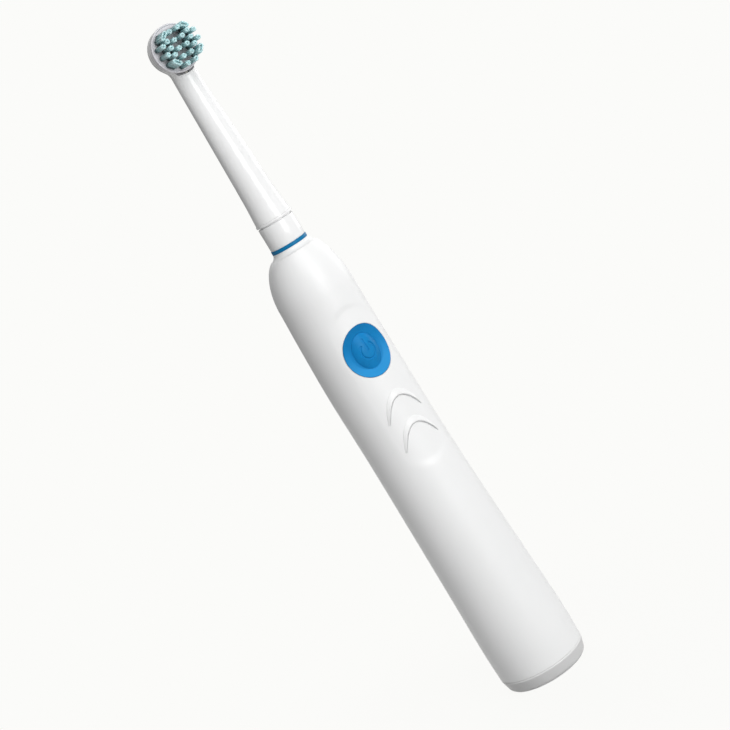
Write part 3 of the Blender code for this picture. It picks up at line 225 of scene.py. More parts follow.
class FinishSheet(Sheet):
    """A new material, with its pattern coordinates in millimetres and the values that stay the same."""

    def __init__(self, name, constants):
        self.material = bpy.data.materials.new(name)
        self.material.use_nodes = True
        super().__init__(self.material.node_tree)
        self.shader = self.tree.nodes["Principled BSDF"]
        for key, value in constants.items():
            self.shader.inputs[key].default_value = value
        place = self.node("ShaderNodeTexCoord", output="Object")
        self.place = self.node("ShaderNodeVectorMath", {"operation": "SCALE"}, {0: place, "Scale": 1000.0})
        self.x = self.node("ShaderNodeSeparateXYZ", inputs={0: self.place})
        self.y = self.x.output("Y")
        self.z = self.x.output("Z")

    def noise(self, scale, detail=2.0, stretch=(1.0, 1.0, 1.0), roughness=0.5):
        place = self.place
        if stretch != (1.0, 1.0, 1.0):
            place = self.node("ShaderNodeVectorMath", {"operation": "MULTIPLY"}, {0: place, 1: stretch})
        return self.node("ShaderNodeTexNoise", {},
                         {"Vector": place, "Scale": scale, "Detail": detail, "Roughness": roughness})

    def fade(self, value, start, end, low=0.0, high=1.0):
        """Run smoothly from low to high as a value goes from start to end."""
        return self.node("ShaderNodeMapRange", {"interpolation_type": "SMOOTHSTEP"},
                         {"Value": value, "From Min": start, "From Max": end, "To Min": low, "To Max": high})

    def drift(self, scale, color, low, high):
        """A color that wanders slowly between two factors of itself."""
        share = self.fade(self.noise(scale, 3.0), 0.3, 0.7)
        return self.blend(share, rgba(color, low), rgba(color, high))

    def connect(self, **values):
        """Link what varies to the shader, and return the material. A relief is in millimetres."""
        names = {"color": "Base Color", "roughness": "Roughness", "metallic": "Metallic"}
        for key, value in values.items():
            if key == "relief":
                bump = self.node("ShaderNodeBump", inputs={"Distance": MM, "Height": value})
                self.tree.links.new(bump.socket, self.shader.inputs["Normal"])
            else:
                self.tree.links.new(value.socket, self.shader.inputs[names[key]])
        return self.material

    def off_axis(self, height):
        """Distance in millimetres from the front-back line at a height."""
        away = self.z - height / MM
        return (self.x * self.x + away * away) ** 0.5


def rgba(color, factor=1.0):
    return (*(min(channel * factor, 1.0) for channel in color), 1.0)


# Finishes

def moulded_plastic(name, color, roughness, grain, handling=0.05, ior=1.5):
    """Moulded plastic: fine grain from the tool, a slow drift of shade, and handling marks."""
    sheet = FinishSheet(name, {"IOR": ior})
    fine = sheet.noise(5.0, 2.0)
    smears = sheet.noise(0.16, 4.0, (1.0, 1.0, 0.45), 0.62)
    rub = sheet.fade(smears, 0.46, 0.68)
    tone = sheet.drift(0.035, color, 0.975, 1.015)
    return sheet.connect(color=tone, roughness=rub * handling + (fine * 0.03 + roughness),
                         relief=fine * grain + sheet.noise(0.5, 1.0) * (grain * 1.5))


def white_plastic(name, gloss_roughness, banded=0.0):
    """White: a faint film gathers in the joints, and the grip is rubbed a little duller.

    Where it is banded, as on the head, a painted shadow darkens the gap round the brush disc, and
    faint bands run round the cup.
    """
    sheet = FinishSheet(name, {"IOR": 1.46})
    color = (0.862, 0.866, 0.866)
    fine = sheet.noise(4.5, 2.0)
    joints = None
    for height in (HANDLE_FOOT, HANDLE_TOP, COLLAR_TOP, RING_TOP, NECK_FOOT):
        away = sheet.z - height / MM
        near = 1.0 - sheet.fade(away.math("ABSOLUTE", away), 0.1, 0.5)
        joints = near if joints is None else joints.most(near)
    film = joints * sheet.fade(sheet.noise(0.8, 3.0), 0.35, 0.75)
    tone = sheet.drift(0.03, color, 0.985, 1.01)
    tone = sheet.blend(film * 0.10, tone, rgba((0.55, 0.53, 0.47)))
    smears = sheet.fade(sheet.noise(0.12, 5.0, (1.0, 1.0, 0.4), 0.6), 0.45, 0.7)
    grip = sheet.fade(sheet.z, 20.0, 60.0) * (1.0 - sheet.fade(sheet.z, 125.0, 145.0))
    roughness = smears * grip * 0.05 + film * 0.25 + fine * 0.02 + gloss_roughness
    relief = fine * 0.0006 + sheet.noise(0.12, 1.0) * 0.0015
    if banded:
        away = sheet.off_axis(PIVOT_HEIGHT)
        space, front = DISC_SPACE_RADIUS / MM, HEAD_FRONT / MM
        # painted shadow: the gap round the brush disc is darkened where the disc shades it
        painted_gap_shadow = sheet.fade(away, space - 0.75, space - 0.55)
        painted_gap_shadow = painted_gap_shadow * (1.0 - sheet.fade(away, space + 0.05, space + 0.2))
        painted_gap_shadow = painted_gap_shadow * (1.0 - sheet.fade(sheet.y, front + 0.05, front + 0.3))
        tone = sheet.blend(painted_gap_shadow * 0.85, tone, rgba((0.12, 0.12, 0.13)))
        cup = sheet.fade(away, 5.2, 5.8)
        cup = cup * sheet.fade(sheet.z, (PIVOT_HEIGHT - 9 * MM) / MM, (PIVOT_HEIGHT - 6 * MM) / MM)
        band_spacing = 1.15
        relief = relief + (sheet.y * (FULL_TURN / band_spacing)).sine() * cup * banded
    return sheet.connect(color=tone, roughness=roughness, relief=relief)


def disc_plastic():
    """Cool white, darkened between the tufts by painted shade, and rougher there."""
    sheet = FinishSheet("disc_white", {"IOR": 1.46})
    color = (0.69, 0.675, 0.71)
    tone = sheet.drift(0.2, color, 0.97, 1.02)
    # painted shade: the face among the tufts is darkened where the tufts shade it, and made rougher
    among = 1.0 - sheet.fade(sheet.off_axis(PIVOT_HEIGHT), 5.2, 6.4)
    tuft_shade = sheet.fade(sheet.noise(0.9, 3.0), 0.25, 0.6) * 0.25 + 0.65
    tone = sheet.blend(among * tuft_shade, tone, rgba((0.17, 0.19, 0.20)))
    return sheet.connect(color=tone, roughness=0.28 + among * tuft_shade * 0.3,
                         relief=sheet.noise(4.0, 2.0) * 0.001)


def grey_plastic():
    """Satin light grey, with a highlight painted along the seam's lip, and the foot's edge rubbed where it
    stands.
    """
    sheet = FinishSheet("grey_plastic", {"IOR": 1.46})
    color = (0.645, 0.645, 0.645)
    grain = sheet.noise(7.0, 3.0)
    scuffs = sheet.fade(sheet.noise(1.6, 4.0, (1.0, 1.0, 3.0), 0.65), 0.5, 0.66)
    foot = 1.0 - sheet.fade(sheet.z, 0.25, 1.3)
    rubbed = foot * scuffs
    tone = sheet.drift(0.05, color, 0.98, 1.02)
    tone = sheet.blend(rubbed * 0.35, tone, rgba(color, 1.14))
    # painted highlight: the seam's lip at the top of the foot cap is made paler, as if it caught the light
    lip = sheet.fade(sheet.z, (HANDLE_FOOT - 0.62 * MM) / MM, (HANDLE_FOOT - 0.45 * MM) / MM)
    tone = sheet.blend(lip * 0.8, tone, rgba((0.80, 0.80, 0.80)))
    return sheet.connect(color=tone, roughness=0.36 + grain * 0.05 + rubbed * 0.12, relief=grain * 0.0022)


def blue_rubber():
    """Satin blue rubber: smoother in the middle of the button, and painted paler low in its dish, where its
    wall faces up to the light.
    """
    sheet = FinishSheet("blue_rubber", {"IOR": 1.22})
    color = (0.005, 0.205, 0.50)
    grain = sheet.noise(8.0, 3.0)
    tone = sheet.drift(0.3, color, 0.94, 1.05)
    along = sheet.z - BUTTON_HEIGHT / MM
    from_middle = sheet.off_axis(BUTTON_HEIGHT)
    touched = 1.0 - sheet.fade(from_middle, 2.0, 6.0)
    dust = sheet.fade(sheet.noise(2.2, 5.0, roughness=0.7), 0.58, 0.78) * (1.0 - touched)
    tone = sheet.blend(dust * 0.05, tone, rgba((0.5, 0.6, 0.7)))
    # painted light: the lower wall of the dish, which faces up to the lamps, is made paler
    rubbed = sheet.fade(along, 4.0, -6.0) * sheet.fade(from_middle, 5.2, 6.0)
    tone = sheet.blend(rubbed * 0.6, tone, rgba((0.03, 0.33, 0.72)))
    return sheet.connect(color=tone, roughness=0.46 - touched * 0.08 + dust * 0.1, relief=grain * 0.002)


def aqua_bristle():
    """Nylon filaments: darkened towards the roots by painted shade, paler at the tips, each a little
    different.
    """
    sheet = FinishSheet("aqua_bristle", {"IOR": 1.5})
    reach = sheet.fade(sheet.y, DISC_FACE / MM, TUFT_TIP / MM)
    single = sheet.fade(sheet.noise(3.0, 1.0, (1.0, 0.02, 1.0)), 0.3, 0.7)
    # painted shade: the filaments darken towards their roots, where the tufts shade one another
    tone = sheet.blend(sheet.fade(reach, 0.0, 0.3), rgba((0.025, 0.08, 0.09)), rgba((0.43, 0.69, 0.71)))
    tone = sheet.blend(sheet.fade(reach, 0.45, 0.95), tone, rgba((0.74, 0.98, 1.0)))
    tone = sheet.blend(single * 0.2, tone, rgba((0.45, 0.66, 0.68)))
    return sheet.connect(color=tone, roughness=0.30 + single * 0.12,
                         relief=sheet.noise(12.0, 1.0, (1.0, 0.2, 1.0)) * 0.002)


def turned_metal(name, color, roughness, line_scale=14.0):
    """Metal off the lathe: fine rings along its length, and a few dull spots."""
    sheet = FinishSheet(name, {"Metallic": 1.0})
    rings = sheet.noise(line_scale, 2.0, (0.06, 0.06, 1.0))
    spots = sheet.fade(sheet.noise(0.9, 4.0, roughness=0.65), 0.55, 0.75)
    tone = sheet.blend(spots * 0.3, rgba(color), rgba(color, 0.72))
    return sheet.connect(color=tone, roughness=roughness + rings * 0.12 + spots * 0.1, relief=rings * 0.003)


def copper_wire():
    """Enamelled wire, wound side by side."""
    sheet = FinishSheet("copper_wire", {"Metallic": 0.85})
    turn_spacing = 0.35
    turns = (sheet.z * (FULL_TURN / turn_spacing)).sine()
    lay = sheet.noise(1.2, 2.0, (1.0, 1.0, 3.0))
    tone = sheet.blend(sheet.fade(lay, 0.35, 0.7), rgba((0.55, 0.20, 0.07)), rgba((0.80, 0.38, 0.17)))
    # painted shade: the troughs between the turns are darkened
    tone = sheet.blend(sheet.fade(turns, -0.2, -1.0) * 0.5, tone, rgba((0.18, 0.05, 0.02)))
    return sheet.connect(color=tone, roughness=0.28 + lay * 0.1, relief=turns * 0.06)


def magnet():
    """Sintered ferrite: dark, with fine pits."""
    sheet = FinishSheet("magnet", {"Metallic": 0.4})
    pits = sheet.fade(sheet.noise(6.0, 3.0), 0.58, 0.7)
    # painted shade: the sunk pits are darkened
    tone = sheet.blend(pits, rgba((0.13, 0.13, 0.14)), rgba((0.05, 0.05, 0.055)))
    return sheet.connect(color=tone, roughness=0.5 + pits * 0.2, relief=pits * -0.02)


def green_board():
    """Solder resist over copper tracks, with bare pads along the board's sides."""
    sheet = FinishSheet("green_board", {"IOR": 1.5})
    cells = sheet.node("ShaderNodeTexBrick", {"offset": 0.5, "squash": 0.6},
                       {"Vector": sheet.node("ShaderNodeCombineXYZ", inputs={0: sheet.x, 1: sheet.z}),
                        "Scale": 0.45, "Mortar Size": 0.06, "Mortar Smooth": 0.3}, output="Fac")
    side = sheet.x.math("ABSOLUTE", sheet.x)
    row = (sheet.z * (FULL_TURN / 2.54)).sine()
    pads = sheet.fade(side, 5.5, 5.7) * (1.0 - sheet.fade(side, 6.2, 6.4)) * sheet.fade(row, 0.2, 0.4)
    tone = sheet.blend(cells, rgba((0.03, 0.20, 0.10)), rgba((0.06, 0.34, 0.17)))
    tone = sheet.blend(pads, tone, rgba((0.72, 0.60, 0.34)))
    return sheet.connect(color=tone, metallic=pads * 0.9, roughness=0.32 + cells * 0.08,
                         relief=cells * 0.02)


def battery_sleeve():
    """Thin shrink sleeve: glossy, with a few tight wrinkles at its ends."""
    sheet = FinishSheet("battery_sleeve", {"IOR": 1.5})
    low, high = (corner.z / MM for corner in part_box("battery_cell"))
    ends = 1.0 - sheet.fade(sheet.z, low, low + 3.0) + sheet.fade(sheet.z, high - 4.0, high - 1.0)
    wrinkles = sheet.noise(1.4, 3.0, (1.0, 1.0, 0.25)) * ends
    drift = sheet.fade(sheet.noise(0.2), 0.3, 0.7)
    tone = sheet.blend(drift, rgba((0.09, 0.31, 0.18)), rgba((0.11, 0.38, 0.22)))
    return sheet.connect(color=tone, roughness=0.22 + wrinkles * 0.1, relief=wrinkles * 0.08)


HEAD_WHITE = white_plastic("head_white", 0.1, 0.05)
PIECE_FINISHES = {
    "head_and_neck": HEAD_WHITE,
    "neck_collar_sleeve": HEAD_WHITE,
    "brush_plate": disc_plastic(),
}
FINISHES = {
    "white_plastic": white_plastic("handle_white", 0.34),
    "grey_plastic": grey_plastic(),
    "blue_rubber": blue_rubber(),
    "blue_plastic": moulded_plastic("blue_plastic", (0.003, 0.165, 0.36), 0.35, 0.001, ior=1.25),
    "aqua_bristle": aqua_bristle(),
    "natural_plastic": moulded_plastic("natural_plastic", (0.78, 0.77, 0.70), 0.42, 0.003),
    "black_rubber": moulded_plastic("black_rubber", (0.028, 0.028, 0.03), 0.55, 0.004),
    "steel": turned_metal("steel", (0.62, 0.62, 0.63), 0.20),
    "brass": turned_metal("brass", (0.75, 0.56, 0.26), 0.25),
    "copper_wire": copper_wire(),
    "nickel": turned_metal("nickel", (0.70, 0.68, 0.62), 0.26, 9.0),
    "magnet": magnet(),
    "green_board": green_board(),
    "black_plastic": moulded_plastic("black_plastic", (0.035, 0.035, 0.04), 0.38, 0.003),
    "battery_sleeve": battery_sleeve(),
}


# Mesh helpers

def add_piece(name, mesh, body, slot, replaces=(), sharp_angle=35):
    """Make a mesh a named piece that rides on a body, with its own finish or its slot's."""
    mesh.materials.clear()
    mesh.materials.append(PIECE_FINISHES.get(name, FINISHES[slot]))
    mesh.shade_smooth()
    mesh.set_sharp_from_angle(angle=math.radians(sharp_angle))
    made = new_object(mesh, name)
    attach(made, body)
    if replaces:
        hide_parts(*replaces)
    return made


def mesh_of(name, points, faces):
    """A mesh from points and faces, with its normals turned outwards."""
    mesh = bpy.data.meshes.new(name)
    mesh.from_pydata([tuple(point) for point in points], [], faces)
    data = bmesh.new()
    data.from_mesh(mesh)
    bmesh.ops.remove_doubles(data, verts=data.verts, dist=1e-7)
    bmesh.ops.recalc_face_normals(data, faces=data.faces)
    data.to_mesh(mesh)
    data.free()
    return mesh


def skinned(name, rings, loop=False):
    """Join rings of equal length into one closed mesh, capped at its ends unless it loops."""
    count = len(rings[0])
    points = np.concatenate(rings)
    faces = []
    pairs = [(row, row + 1) for row in range(len(rings) - 1)]
    if loop:
        pairs.append((len(rings) - 1, 0))
    for lower, upper in pairs:
        for index in range(count):
            following = (index + 1) % count
            faces.append((lower * count + index, lower * count + following,
                          upper * count + following, upper * count + index))
    if not loop:
        faces.append(tuple(range(count)))
        faces.append(tuple(range((len(rings) - 1) * count, len(rings) * count)))
    return mesh_of(name, points, faces)


def ring_at(radius, z, set_back=0.0, sides=128):
    turns = np.arange(sides) * FULL_TURN / sides
    return np.stack((radius * np.cos(turns), set_back + radius * np.sin(turns), np.full(sides, z)), axis=1)


def turned(name, profile, sides=128, loop=False):
    """Turn a (radius, z) profile about the upright axis."""
    return skinned(name, [ring_at(max(radius, 1e-6), z, sides=sides) for radius, z in profile], loop)


def turned_along_y(name, profile, sides=128):
    """Turn a (radius, y) profile about the brush disc's pivot."""
    rings = []
    for radius, y in profile:
        ring = ring_at(max(radius, 1e-6), y, sides=sides)
        rings.append(np.stack((ring[:, 0], ring[:, 2], PIVOT_HEIGHT + ring[:, 1]), axis=1))
    return skinned(name, rings)


def bar(radius, low, high):
    """The profile of a plain round bar."""
    return [(0.0, low), (radius, low), (radius, high), (0.0, high)]


def rounded(profile, radius, steps=4):
    """Round the inner corners of an open profile, each within half its shorter side."""
    points = [Vector(point) for point in profile]
    result = [points[0]]
    for before, corner, after in zip(points, points[1:], points[2:]):
        to_before = before - corner
        to_after = after - corner
        reach = min(radius, to_before.length / 2, to_after.length / 2)
        start = corner + to_before.normalized() * reach
        end = corner + to_after.normalized() * reach
        for index in range(steps + 1):
            t = index / steps
            result.append(start * (1 - t) ** 2 + corner * 2 * t * (1 - t) + end * t ** 2)
    result.append(points[-1])
    return [tuple(point) for point in result]


def new_object(data, name=None):
    made = bpy.data.objects.new(name or data.name, data)
    bpy.context.scene.collection.objects.link(made)
    return made


def finished_mesh(worked, name):
    """The plain mesh of an object with its modifiers applied. The object is removed."""
    bpy.context.view_layer.update()
    evaluated = worked.evaluated_get(bpy.context.evaluated_depsgraph_get())
    mesh = bpy.data.meshes.new_from_object(evaluated)
    mesh.name = name
    bpy.data.objects.remove(worked)
    return mesh


def carved(mesh, *tools, operation="DIFFERENCE"):
    """Cut tool meshes out of a mesh."""
    worked = new_object(mesh)
    tool_objects = [new_object(tool) for tool in tools]
    for tool in tool_objects:
        modifier = worked.modifiers.new(tool.name, "BOOLEAN")
        modifier.solver = "MANIFOLD"
        modifier.operation = operation
        modifier.object = tool
    result = finished_mesh(worked, mesh.name)
    for tool in tool_objects:
        bpy.data.objects.remove(tool)
    return result


# The handle's skin

def smooth_values(stations, shares, column):
    """Run a cubic through one column of stations."""
    knots = stations[:, 0]
    values = stations[:, column]
    places = np.arange(len(knots))
    before = np.maximum(places - 1, 0)
    after = np.minimum(places + 1, len(knots) - 1)
    slopes = (values[after] - values[before]) / (knots[after] - knots[before])
    index = np.clip(np.searchsorted(knots, shares, side="right") - 1, 0, len(knots) - 2)
    span = knots[index + 1] - knots[index]
    t = np.clip((shares - knots[index]) / span, 0.0, 1.0)
    start = (2 * t ** 3 - 3 * t ** 2 + 1) * values[index] + (t ** 3 - 2 * t ** 2 + t) * slopes[index] * span
    end = (3 * t ** 2 - 2 * t ** 3) * values[index + 1] + (t ** 3 - t ** 2) * slopes[index + 1] * span
    return start + end


def smooth_step(value, start, end):
    t = np.clip((value - start) / (end - start), 0.0, 1.0)
    return t * t * (3 - 2 * t)


def handle_value(z, column, top, fullness):
    """One column of the body's outline, run on over the shoulder to its value at the top."""
    body = smooth_values(BODY_OUTLINE, (z - SEAM_HEIGHT) / BODY_LENGTH, column) * MM
    share = np.clip((z - SHOULDER_HEIGHT) / SHOULDER_LENGTH, 0.0, 1.0)
    last = BODY_OUTLINE[-1, column] * MM
    return np.where(z <= SHOULDER_HEIGHT, body, top + (last - top) * (1 - share ** 2) ** fullness)


def handle_radius(z):
    return handle_value(z, 1, HANDLE_TOP_RADIUS, SHOULDER_FULLNESS)


def handle_set_back(z):
    return handle_value(z, 2, 0.0, 0.5)


def skin_points(across, z, rise):
    """Points over the skin: across is the arc from the front line, rise is outwards."""
    across, z, rise = np.broadcast_arrays(across, z, rise)
    radius = handle_radius(z)
    turn = across / radius
    out = radius + rise
    return np.stack((out * np.sin(turn), handle_set_back(z) - out * np.cos(turn), z), axis=-1)


def oval(half_width, half_height, count=128):
    turns = np.arange(count) * FULL_TURN / count
    return half_width * np.cos(turns), half_height * np.sin(turns)


def recess_rise(across, z):
    """How far the thumb recess lowers the skin. Its round ends have edges, and its sides fade out."""
    above = z - (RECESS_TOP - RECESS_TOP_RADIUS)
    below = (RECESS_FOOT + RECESS_FOOT_RADIUS) - z
    top_edge = np.hypot(across, np.maximum(above, 0)) - RECESS_TOP_RADIUS
    foot_edge = np.hypot(across, np.maximum(below, 0)) - RECESS_FOOT_RADIUS
    sides = (1 - np.minimum(np.abs(across) / RECESS_HALF_WIDTH, 1) ** 2) ** 2
    ends = (1 - smooth_step(top_edge, -2.0 * MM, 0)) * (1 - smooth_step(foot_edge, -3.0 * MM, 0))
    return -RECESS_DEPTH * sides * ends


def handle_turns():
    """Turns round the handle from its front line, close together where the recess is."""
    front_span = math.radians(46)
    front = np.linspace(-front_span, front_span, 92, endpoint=False)
    rest = np.linspace(front_span, FULL_TURN - front_span, 84, endpoint=False)
    return np.concatenate((front, rest))


def handle_heights():
    """Heights of the outer skin's rings, close together at the crescents, recess and shoulder."""
    shoulder = SHOULDER_HEIGHT + SHOULDER_LENGTH * np.sin(np.linspace(0, math.pi / 2, 40))
    spans = (
        (HANDLE_FOOT + 0.3 * MM, BUTTON_HEIGHT - 44 * MM, 56),
        (BUTTON_HEIGHT - 44 * MM, BUTTON_HEIGHT + 18 * MM, 110),
        (BUTTON_HEIGHT + 18 * MM, SHOULDER_HEIGHT, 8),
    )
    rows = [np.linspace(low, high, count, endpoint=False) for low, high, count in spans]
    return np.concatenate(rows + [shoulder])


def handle_ring(radius, z, set_back, turns):
    x, y = radius * np.sin(turns), set_back - radius * np.cos(turns)
    return np.stack((x, y, np.full(len(turns), z)), axis=1)


def make_handle():
    turns = handle_turns()
    rings = []
    lip = 0.08 * MM
    foot_radius = float(handle_radius(HANDLE_FOOT))
    for step in range(5):
        angle = math.pi / 2 * step / 5
        rings.append(handle_ring(foot_radius - lip * (1 - math.sin(angle)),
                                 HANDLE_FOOT + lip * (1 - math.cos(angle)), 0.0, turns))
    for z in handle_heights():
        across = float(handle_radius(z)) * np.where(turns > math.pi, turns - FULL_TURN, turns)
        rings.append(skin_points(across, np.full(len(turns), z), recess_rise(across, z)))
    seal_low, seal_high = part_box("shaft_seal")
    boss_bore = seal_high.x + 0.3 * MM
    boss_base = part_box("upper_bush")[0].z - 0.3 * MM
    cavity_top = seal_low.z
    top = (
        (SPINDLE_MOUTH + 0.2 * MM, HANDLE_TOP),
        (SPINDLE_MOUTH, HANDLE_TOP - 0.2 * MM),
        (SPINDLE_MOUTH, HANDLE_TOP - HANDLE_WALL),
        (boss_bore, HANDLE_TOP - HANDLE_WALL),
        (boss_bore, boss_base),
        (boss_bore + 1.4 * MM, boss_base),
        (boss_bore + 1.4 * MM, cavity_top),
    )
    rings += [handle_ring(radius, z, 0.0, turns) for radius, z in top]
    for z in np.linspace(cavity_top, HANDLE_FOOT, 16):
        inner_radius = float(handle_radius(z)) - HANDLE_WALL
        rings.append(handle_ring(inner_radius, z, float(handle_set_back(z)), turns))
    shell = skinned("handle_shell", rings, loop=True)
    rings = []
    shares = (0.02, 0.3, 0.6, 0.85, 1.0)
    half_width, half_height = BEZEL_HALF_WIDTH + 0.1 * MM, BEZEL_HALF_HEIGHT + 0.1 * MM
    for rise, order in ((-2.5 * HANDLE_WALL, shares), (HANDLE_WALL, shares[::-1])):
        for share in order:
            across, along = oval(share * half_width, share * half_height, 160)
            rings.append(skin_points(across, BUTTON_HEIGHT + along, rise))
    hole = skinned("button_hole", rings)
    shell = carved(shell, hole, *[crease_tool(BUTTON_HEIGHT - below) for below in RIDGES_BELOW_BUTTON])
    add_piece("handle_shell", shell, "handle", "white_plastic", ["handle_housing"])


def crease_line(apex, steps=72):
    """Points along a crescent's lower edge, and the directions outwards across it."""
    share = np.sin(np.linspace(-math.pi / 2, math.pi / 2, steps + 1))
    across = RIDGE_HALF_WIDTH * share
    z = apex - RIDGE_DROP * share ** 2
    slope = 2 * RIDGE_DROP * share / RIDGE_HALF_WIDTH
    outwards = np.stack((slope, np.ones_like(slope)), axis=1) / np.hypot(slope, 1)[:, None]
    return share, across, z, outwards


def crease_tool(apex):
    """A thin curved bar that cuts the crease along a crescent's lower edge."""
    rings = []
    for share, across, z, outwards in zip(*crease_line(apex)):
        width = CREASE_WIDTH * (1 - 0.7 * share ** 12)
        above, inside = 0.6 * MM, 0.05 * MM
        section = ((-width, -CREASE_DEPTH), (-width, above), (inside, above), (inside, -CREASE_DEPTH))
        rings.append(np.array([over_skin(across, z, outwards, away, rise) for away, rise in section]))
    return skinned("crease_tool", rings)


def over_skin(across, z, outwards, away, rise):
    """The point away from a crease and above the recessed skin."""
    across, z = across + away * outwards[0], z + away * outwards[1]
    return skin_points(across, z, float(recess_rise(across, z)) + rise)


def make_crescents():
    """Two raised crescents with a crisp lower edge, broadest in the middle."""
    section = (                   # share of the breadth, share of the rise
        (0.0, -1.0), (0.0, 0.84), (0.02, 0.95), (0.07, 1.0), (0.16, 0.98), (0.35, 0.82), (0.6, 0.58),
        (0.82, 0.40), (0.94, 0.30), (0.985, 0.18), (1.0, 0.0), (1.0, -1.0),
    )
    for label, below in zip(("upper", "lower"), RIDGES_BELOW_BUTTON):
        rings = []
        for share, across, z, outwards in zip(*crease_line(BUTTON_HEIGHT - below)):
            breadth = RIDGE_BREADTH * (1.1 - 0.85 * math.hypot(share, 0.12))
            height = RIDGE_RISE * (1 - 0.8 * share ** 10)
            rings.append(np.array([
                over_skin(across, z, outwards, breadth * away, height * rise if rise >= 0 else -0.2 * MM)
                for away, rise in section
            ]))
        name = f"grip_crescent_{label}"
        add_piece(name, skinned(name, rings), "handle", "white_plastic", sharp_angle=50)


# End cap, collars and ring

def make_end_cap():
    well_radius = 4.75 * MM
    face_radius = 12.6 * MM
    edge_radius = 13.4 * MM
    rim_radius = BODY_OUTLINE[0, 1] * MM
    strip = 0.55 * MM
    cap_top = HANDLE_FOOT - JOINT_LINE
    outline = rounded([
        (well_radius, WELL_DEPTH / 2),
        (well_radius, CAP_FOOT),
        (face_radius, CAP_FOOT),
        (edge_radius, 0.8 * MM),
        (rim_radius, cap_top - strip),
        (rim_radius - 0.16 * MM, cap_top),
        (rim_radius - 2.2 * MM, cap_top),
    ], 0.3 * MM, 6)
    spigot_radius = 12.4 * MM
    spigot_top = SEAM_HEIGHT + 3.9 * MM
    inside = [
        (spigot_radius, cap_top),
        (spigot_radius, spigot_top),
        (spigot_radius - 1.3 * MM, spigot_top),
        (spigot_radius - 1.3 * MM, 1.8 * MM),
        (well_radius + 0.9 * MM, 1.8 * MM),
        (well_radius + 0.9 * MM, WELL_DEPTH + 0.9 * MM),
        (0.0, WELL_DEPTH + 0.9 * MM),
    ]
    profile = [(0.0, WELL_DEPTH), (well_radius, WELL_DEPTH)] + outline[:-1] + inside
    add_piece("foot_cap", turned("foot_cap", profile, 160), "handle", "grey_plastic", ["end_cap"])


def add_band(name, profile, body, slot, replaced):
    """Add a piece turned from a closed profile."""
    add_piece(name, turned(name, profile, loop=True), body, slot, [replaced])


def make_collars():
    foot = HANDLE_TOP + JOINT_LINE
    foot_radius = 7.1 * MM
    ring_radius = 6.0 * MM
    flare = []
    for share in np.linspace(0, 1, 9):
        radius = ring_radius + (foot_radius - ring_radius) * (1 - share) ** 2.2
        flare.append((radius, foot + (COLLAR_TOP - foot) * share))
    profile = rounded([(SPINDLE_MOUTH, foot)] + flare + [(SPINDLE_MOUTH, COLLAR_TOP)], 0.06 * MM, 3)
    add_band("handle_collar_band", profile, "handle", "white_plastic", "handle_collar")

    inner = ring_radius - 1.0 * MM
    ring_foot = COLLAR_TOP + JOINT_LINE
    band = rounded([(inner, ring_foot), (ring_radius, ring_foot), (ring_radius, RING_TOP), (inner, RING_TOP)],
                   0.08 * MM, 3)
    add_band("color_band", band, "brush_head", "blue_plastic", "color_ring")

    collar_foot = RING_TOP + JOINT_LINE
    collar_radius = 5.85 * MM
    flange_top = NECK_FOOT - SKIN_GAP
    flange_foot = flange_top - 0.7 * MM
    flange_radius = 6.02 * MM
    groove_foot = flange_foot - 0.5 * MM
    groove_radius = collar_radius - 0.7 * MM
    spigot_radius = 4.6 * MM
    spindle_bore = 2.4 * MM
    profile = [
        (spindle_bore, RING_FOOT),
        (inner - SKIN_GAP, RING_FOOT),
        (inner - SKIN_GAP, collar_foot),
    ] + rounded([
        (inner, collar_foot),
        (collar_radius, collar_foot),
        (collar_radius, groove_foot),
        (groove_radius, groove_foot + 0.05 * MM),
        (groove_radius, flange_foot),
        (flange_radius, flange_foot),
        (flange_radius, flange_top),
        (spigot_radius, flange_top),
    ], 0.12 * MM, 4) + [
        (spigot_radius, SPIGOT_TOP),
        (spindle_bore, SPIGOT_TOP),
    ]
    add_band("neck_collar_sleeve", profile, "brush_head", "white_plastic", "neck_collar")


# Button

def make_button_dish():
    """An oval dish that falls from its rim to the dome in its middle."""
    inner_width = DOME_HALF_WIDTH + JOINT_LINE
    inner_height = DOME_HALF_HEIGHT + JOINT_LINE
    floor = -(RECESS_DEPTH + BEZEL_DEPTH)
    across, along = oval(BEZEL_HALF_WIDTH, BEZEL_HALF_HEIGHT, 160)
    rim = recess_rise(across, BUTTON_HEIGHT + along) - 0.03 * MM
    section = [(0.0, -BEZEL_BACK), (0.0, floor - 0.1 * MM), (0.03, floor)]
    for share in np.linspace(0.06, 1, 16):
        section.append((0.03 + 0.92 * share, floor + (rim - floor) * share ** 1.15))
    section += [(0.98, rim - 0.02 * MM), (1.0, rim - 0.12 * MM), (1.0, -BEZEL_BACK)]
    rings = []
    for share, rise in section:
        half_width = inner_width + (BEZEL_HALF_WIDTH - inner_width) * share
        half_height = inner_height + (BEZEL_HALF_HEIGHT - inner_height) * share
        across, along = oval(half_width, half_height, 160)
        rings.append(skin_points(across, BUTTON_HEIGHT + along, rise))
    dish = skinned("button_dish", rings, loop=True)
    add_piece("button_dish", dish, "handle", "blue_rubber", ["button_bezel"])


def symbol_groove(across, along):
    """Depth of the sunk power symbol: a ring broken by an upright bar."""
    turn = np.abs(np.arctan2(across, along))
    radius = np.hypot(across, along)
    end_x, end_y = SYMBOL_RADIUS * math.sin(SYMBOL_GAP), SYMBOL_RADIUS * math.cos(SYMBOL_GAP)
    to_end = np.hypot(np.abs(across) - end_x, along - end_y)
    from_arc = np.where(turn > SYMBOL_GAP, np.abs(radius - SYMBOL_RADIUS), to_end)
    from_bar = np.hypot(across, along - np.clip(along, 0.3 * MM, SYMBOL_BAR_TOP))
    nearest = np.minimum(from_arc, from_bar)
    half = SYMBOL_STROKE / 2
    return SYMBOL_DEPTH * (1 - smooth_step(nearest, half * 0.55, half * 1.35))


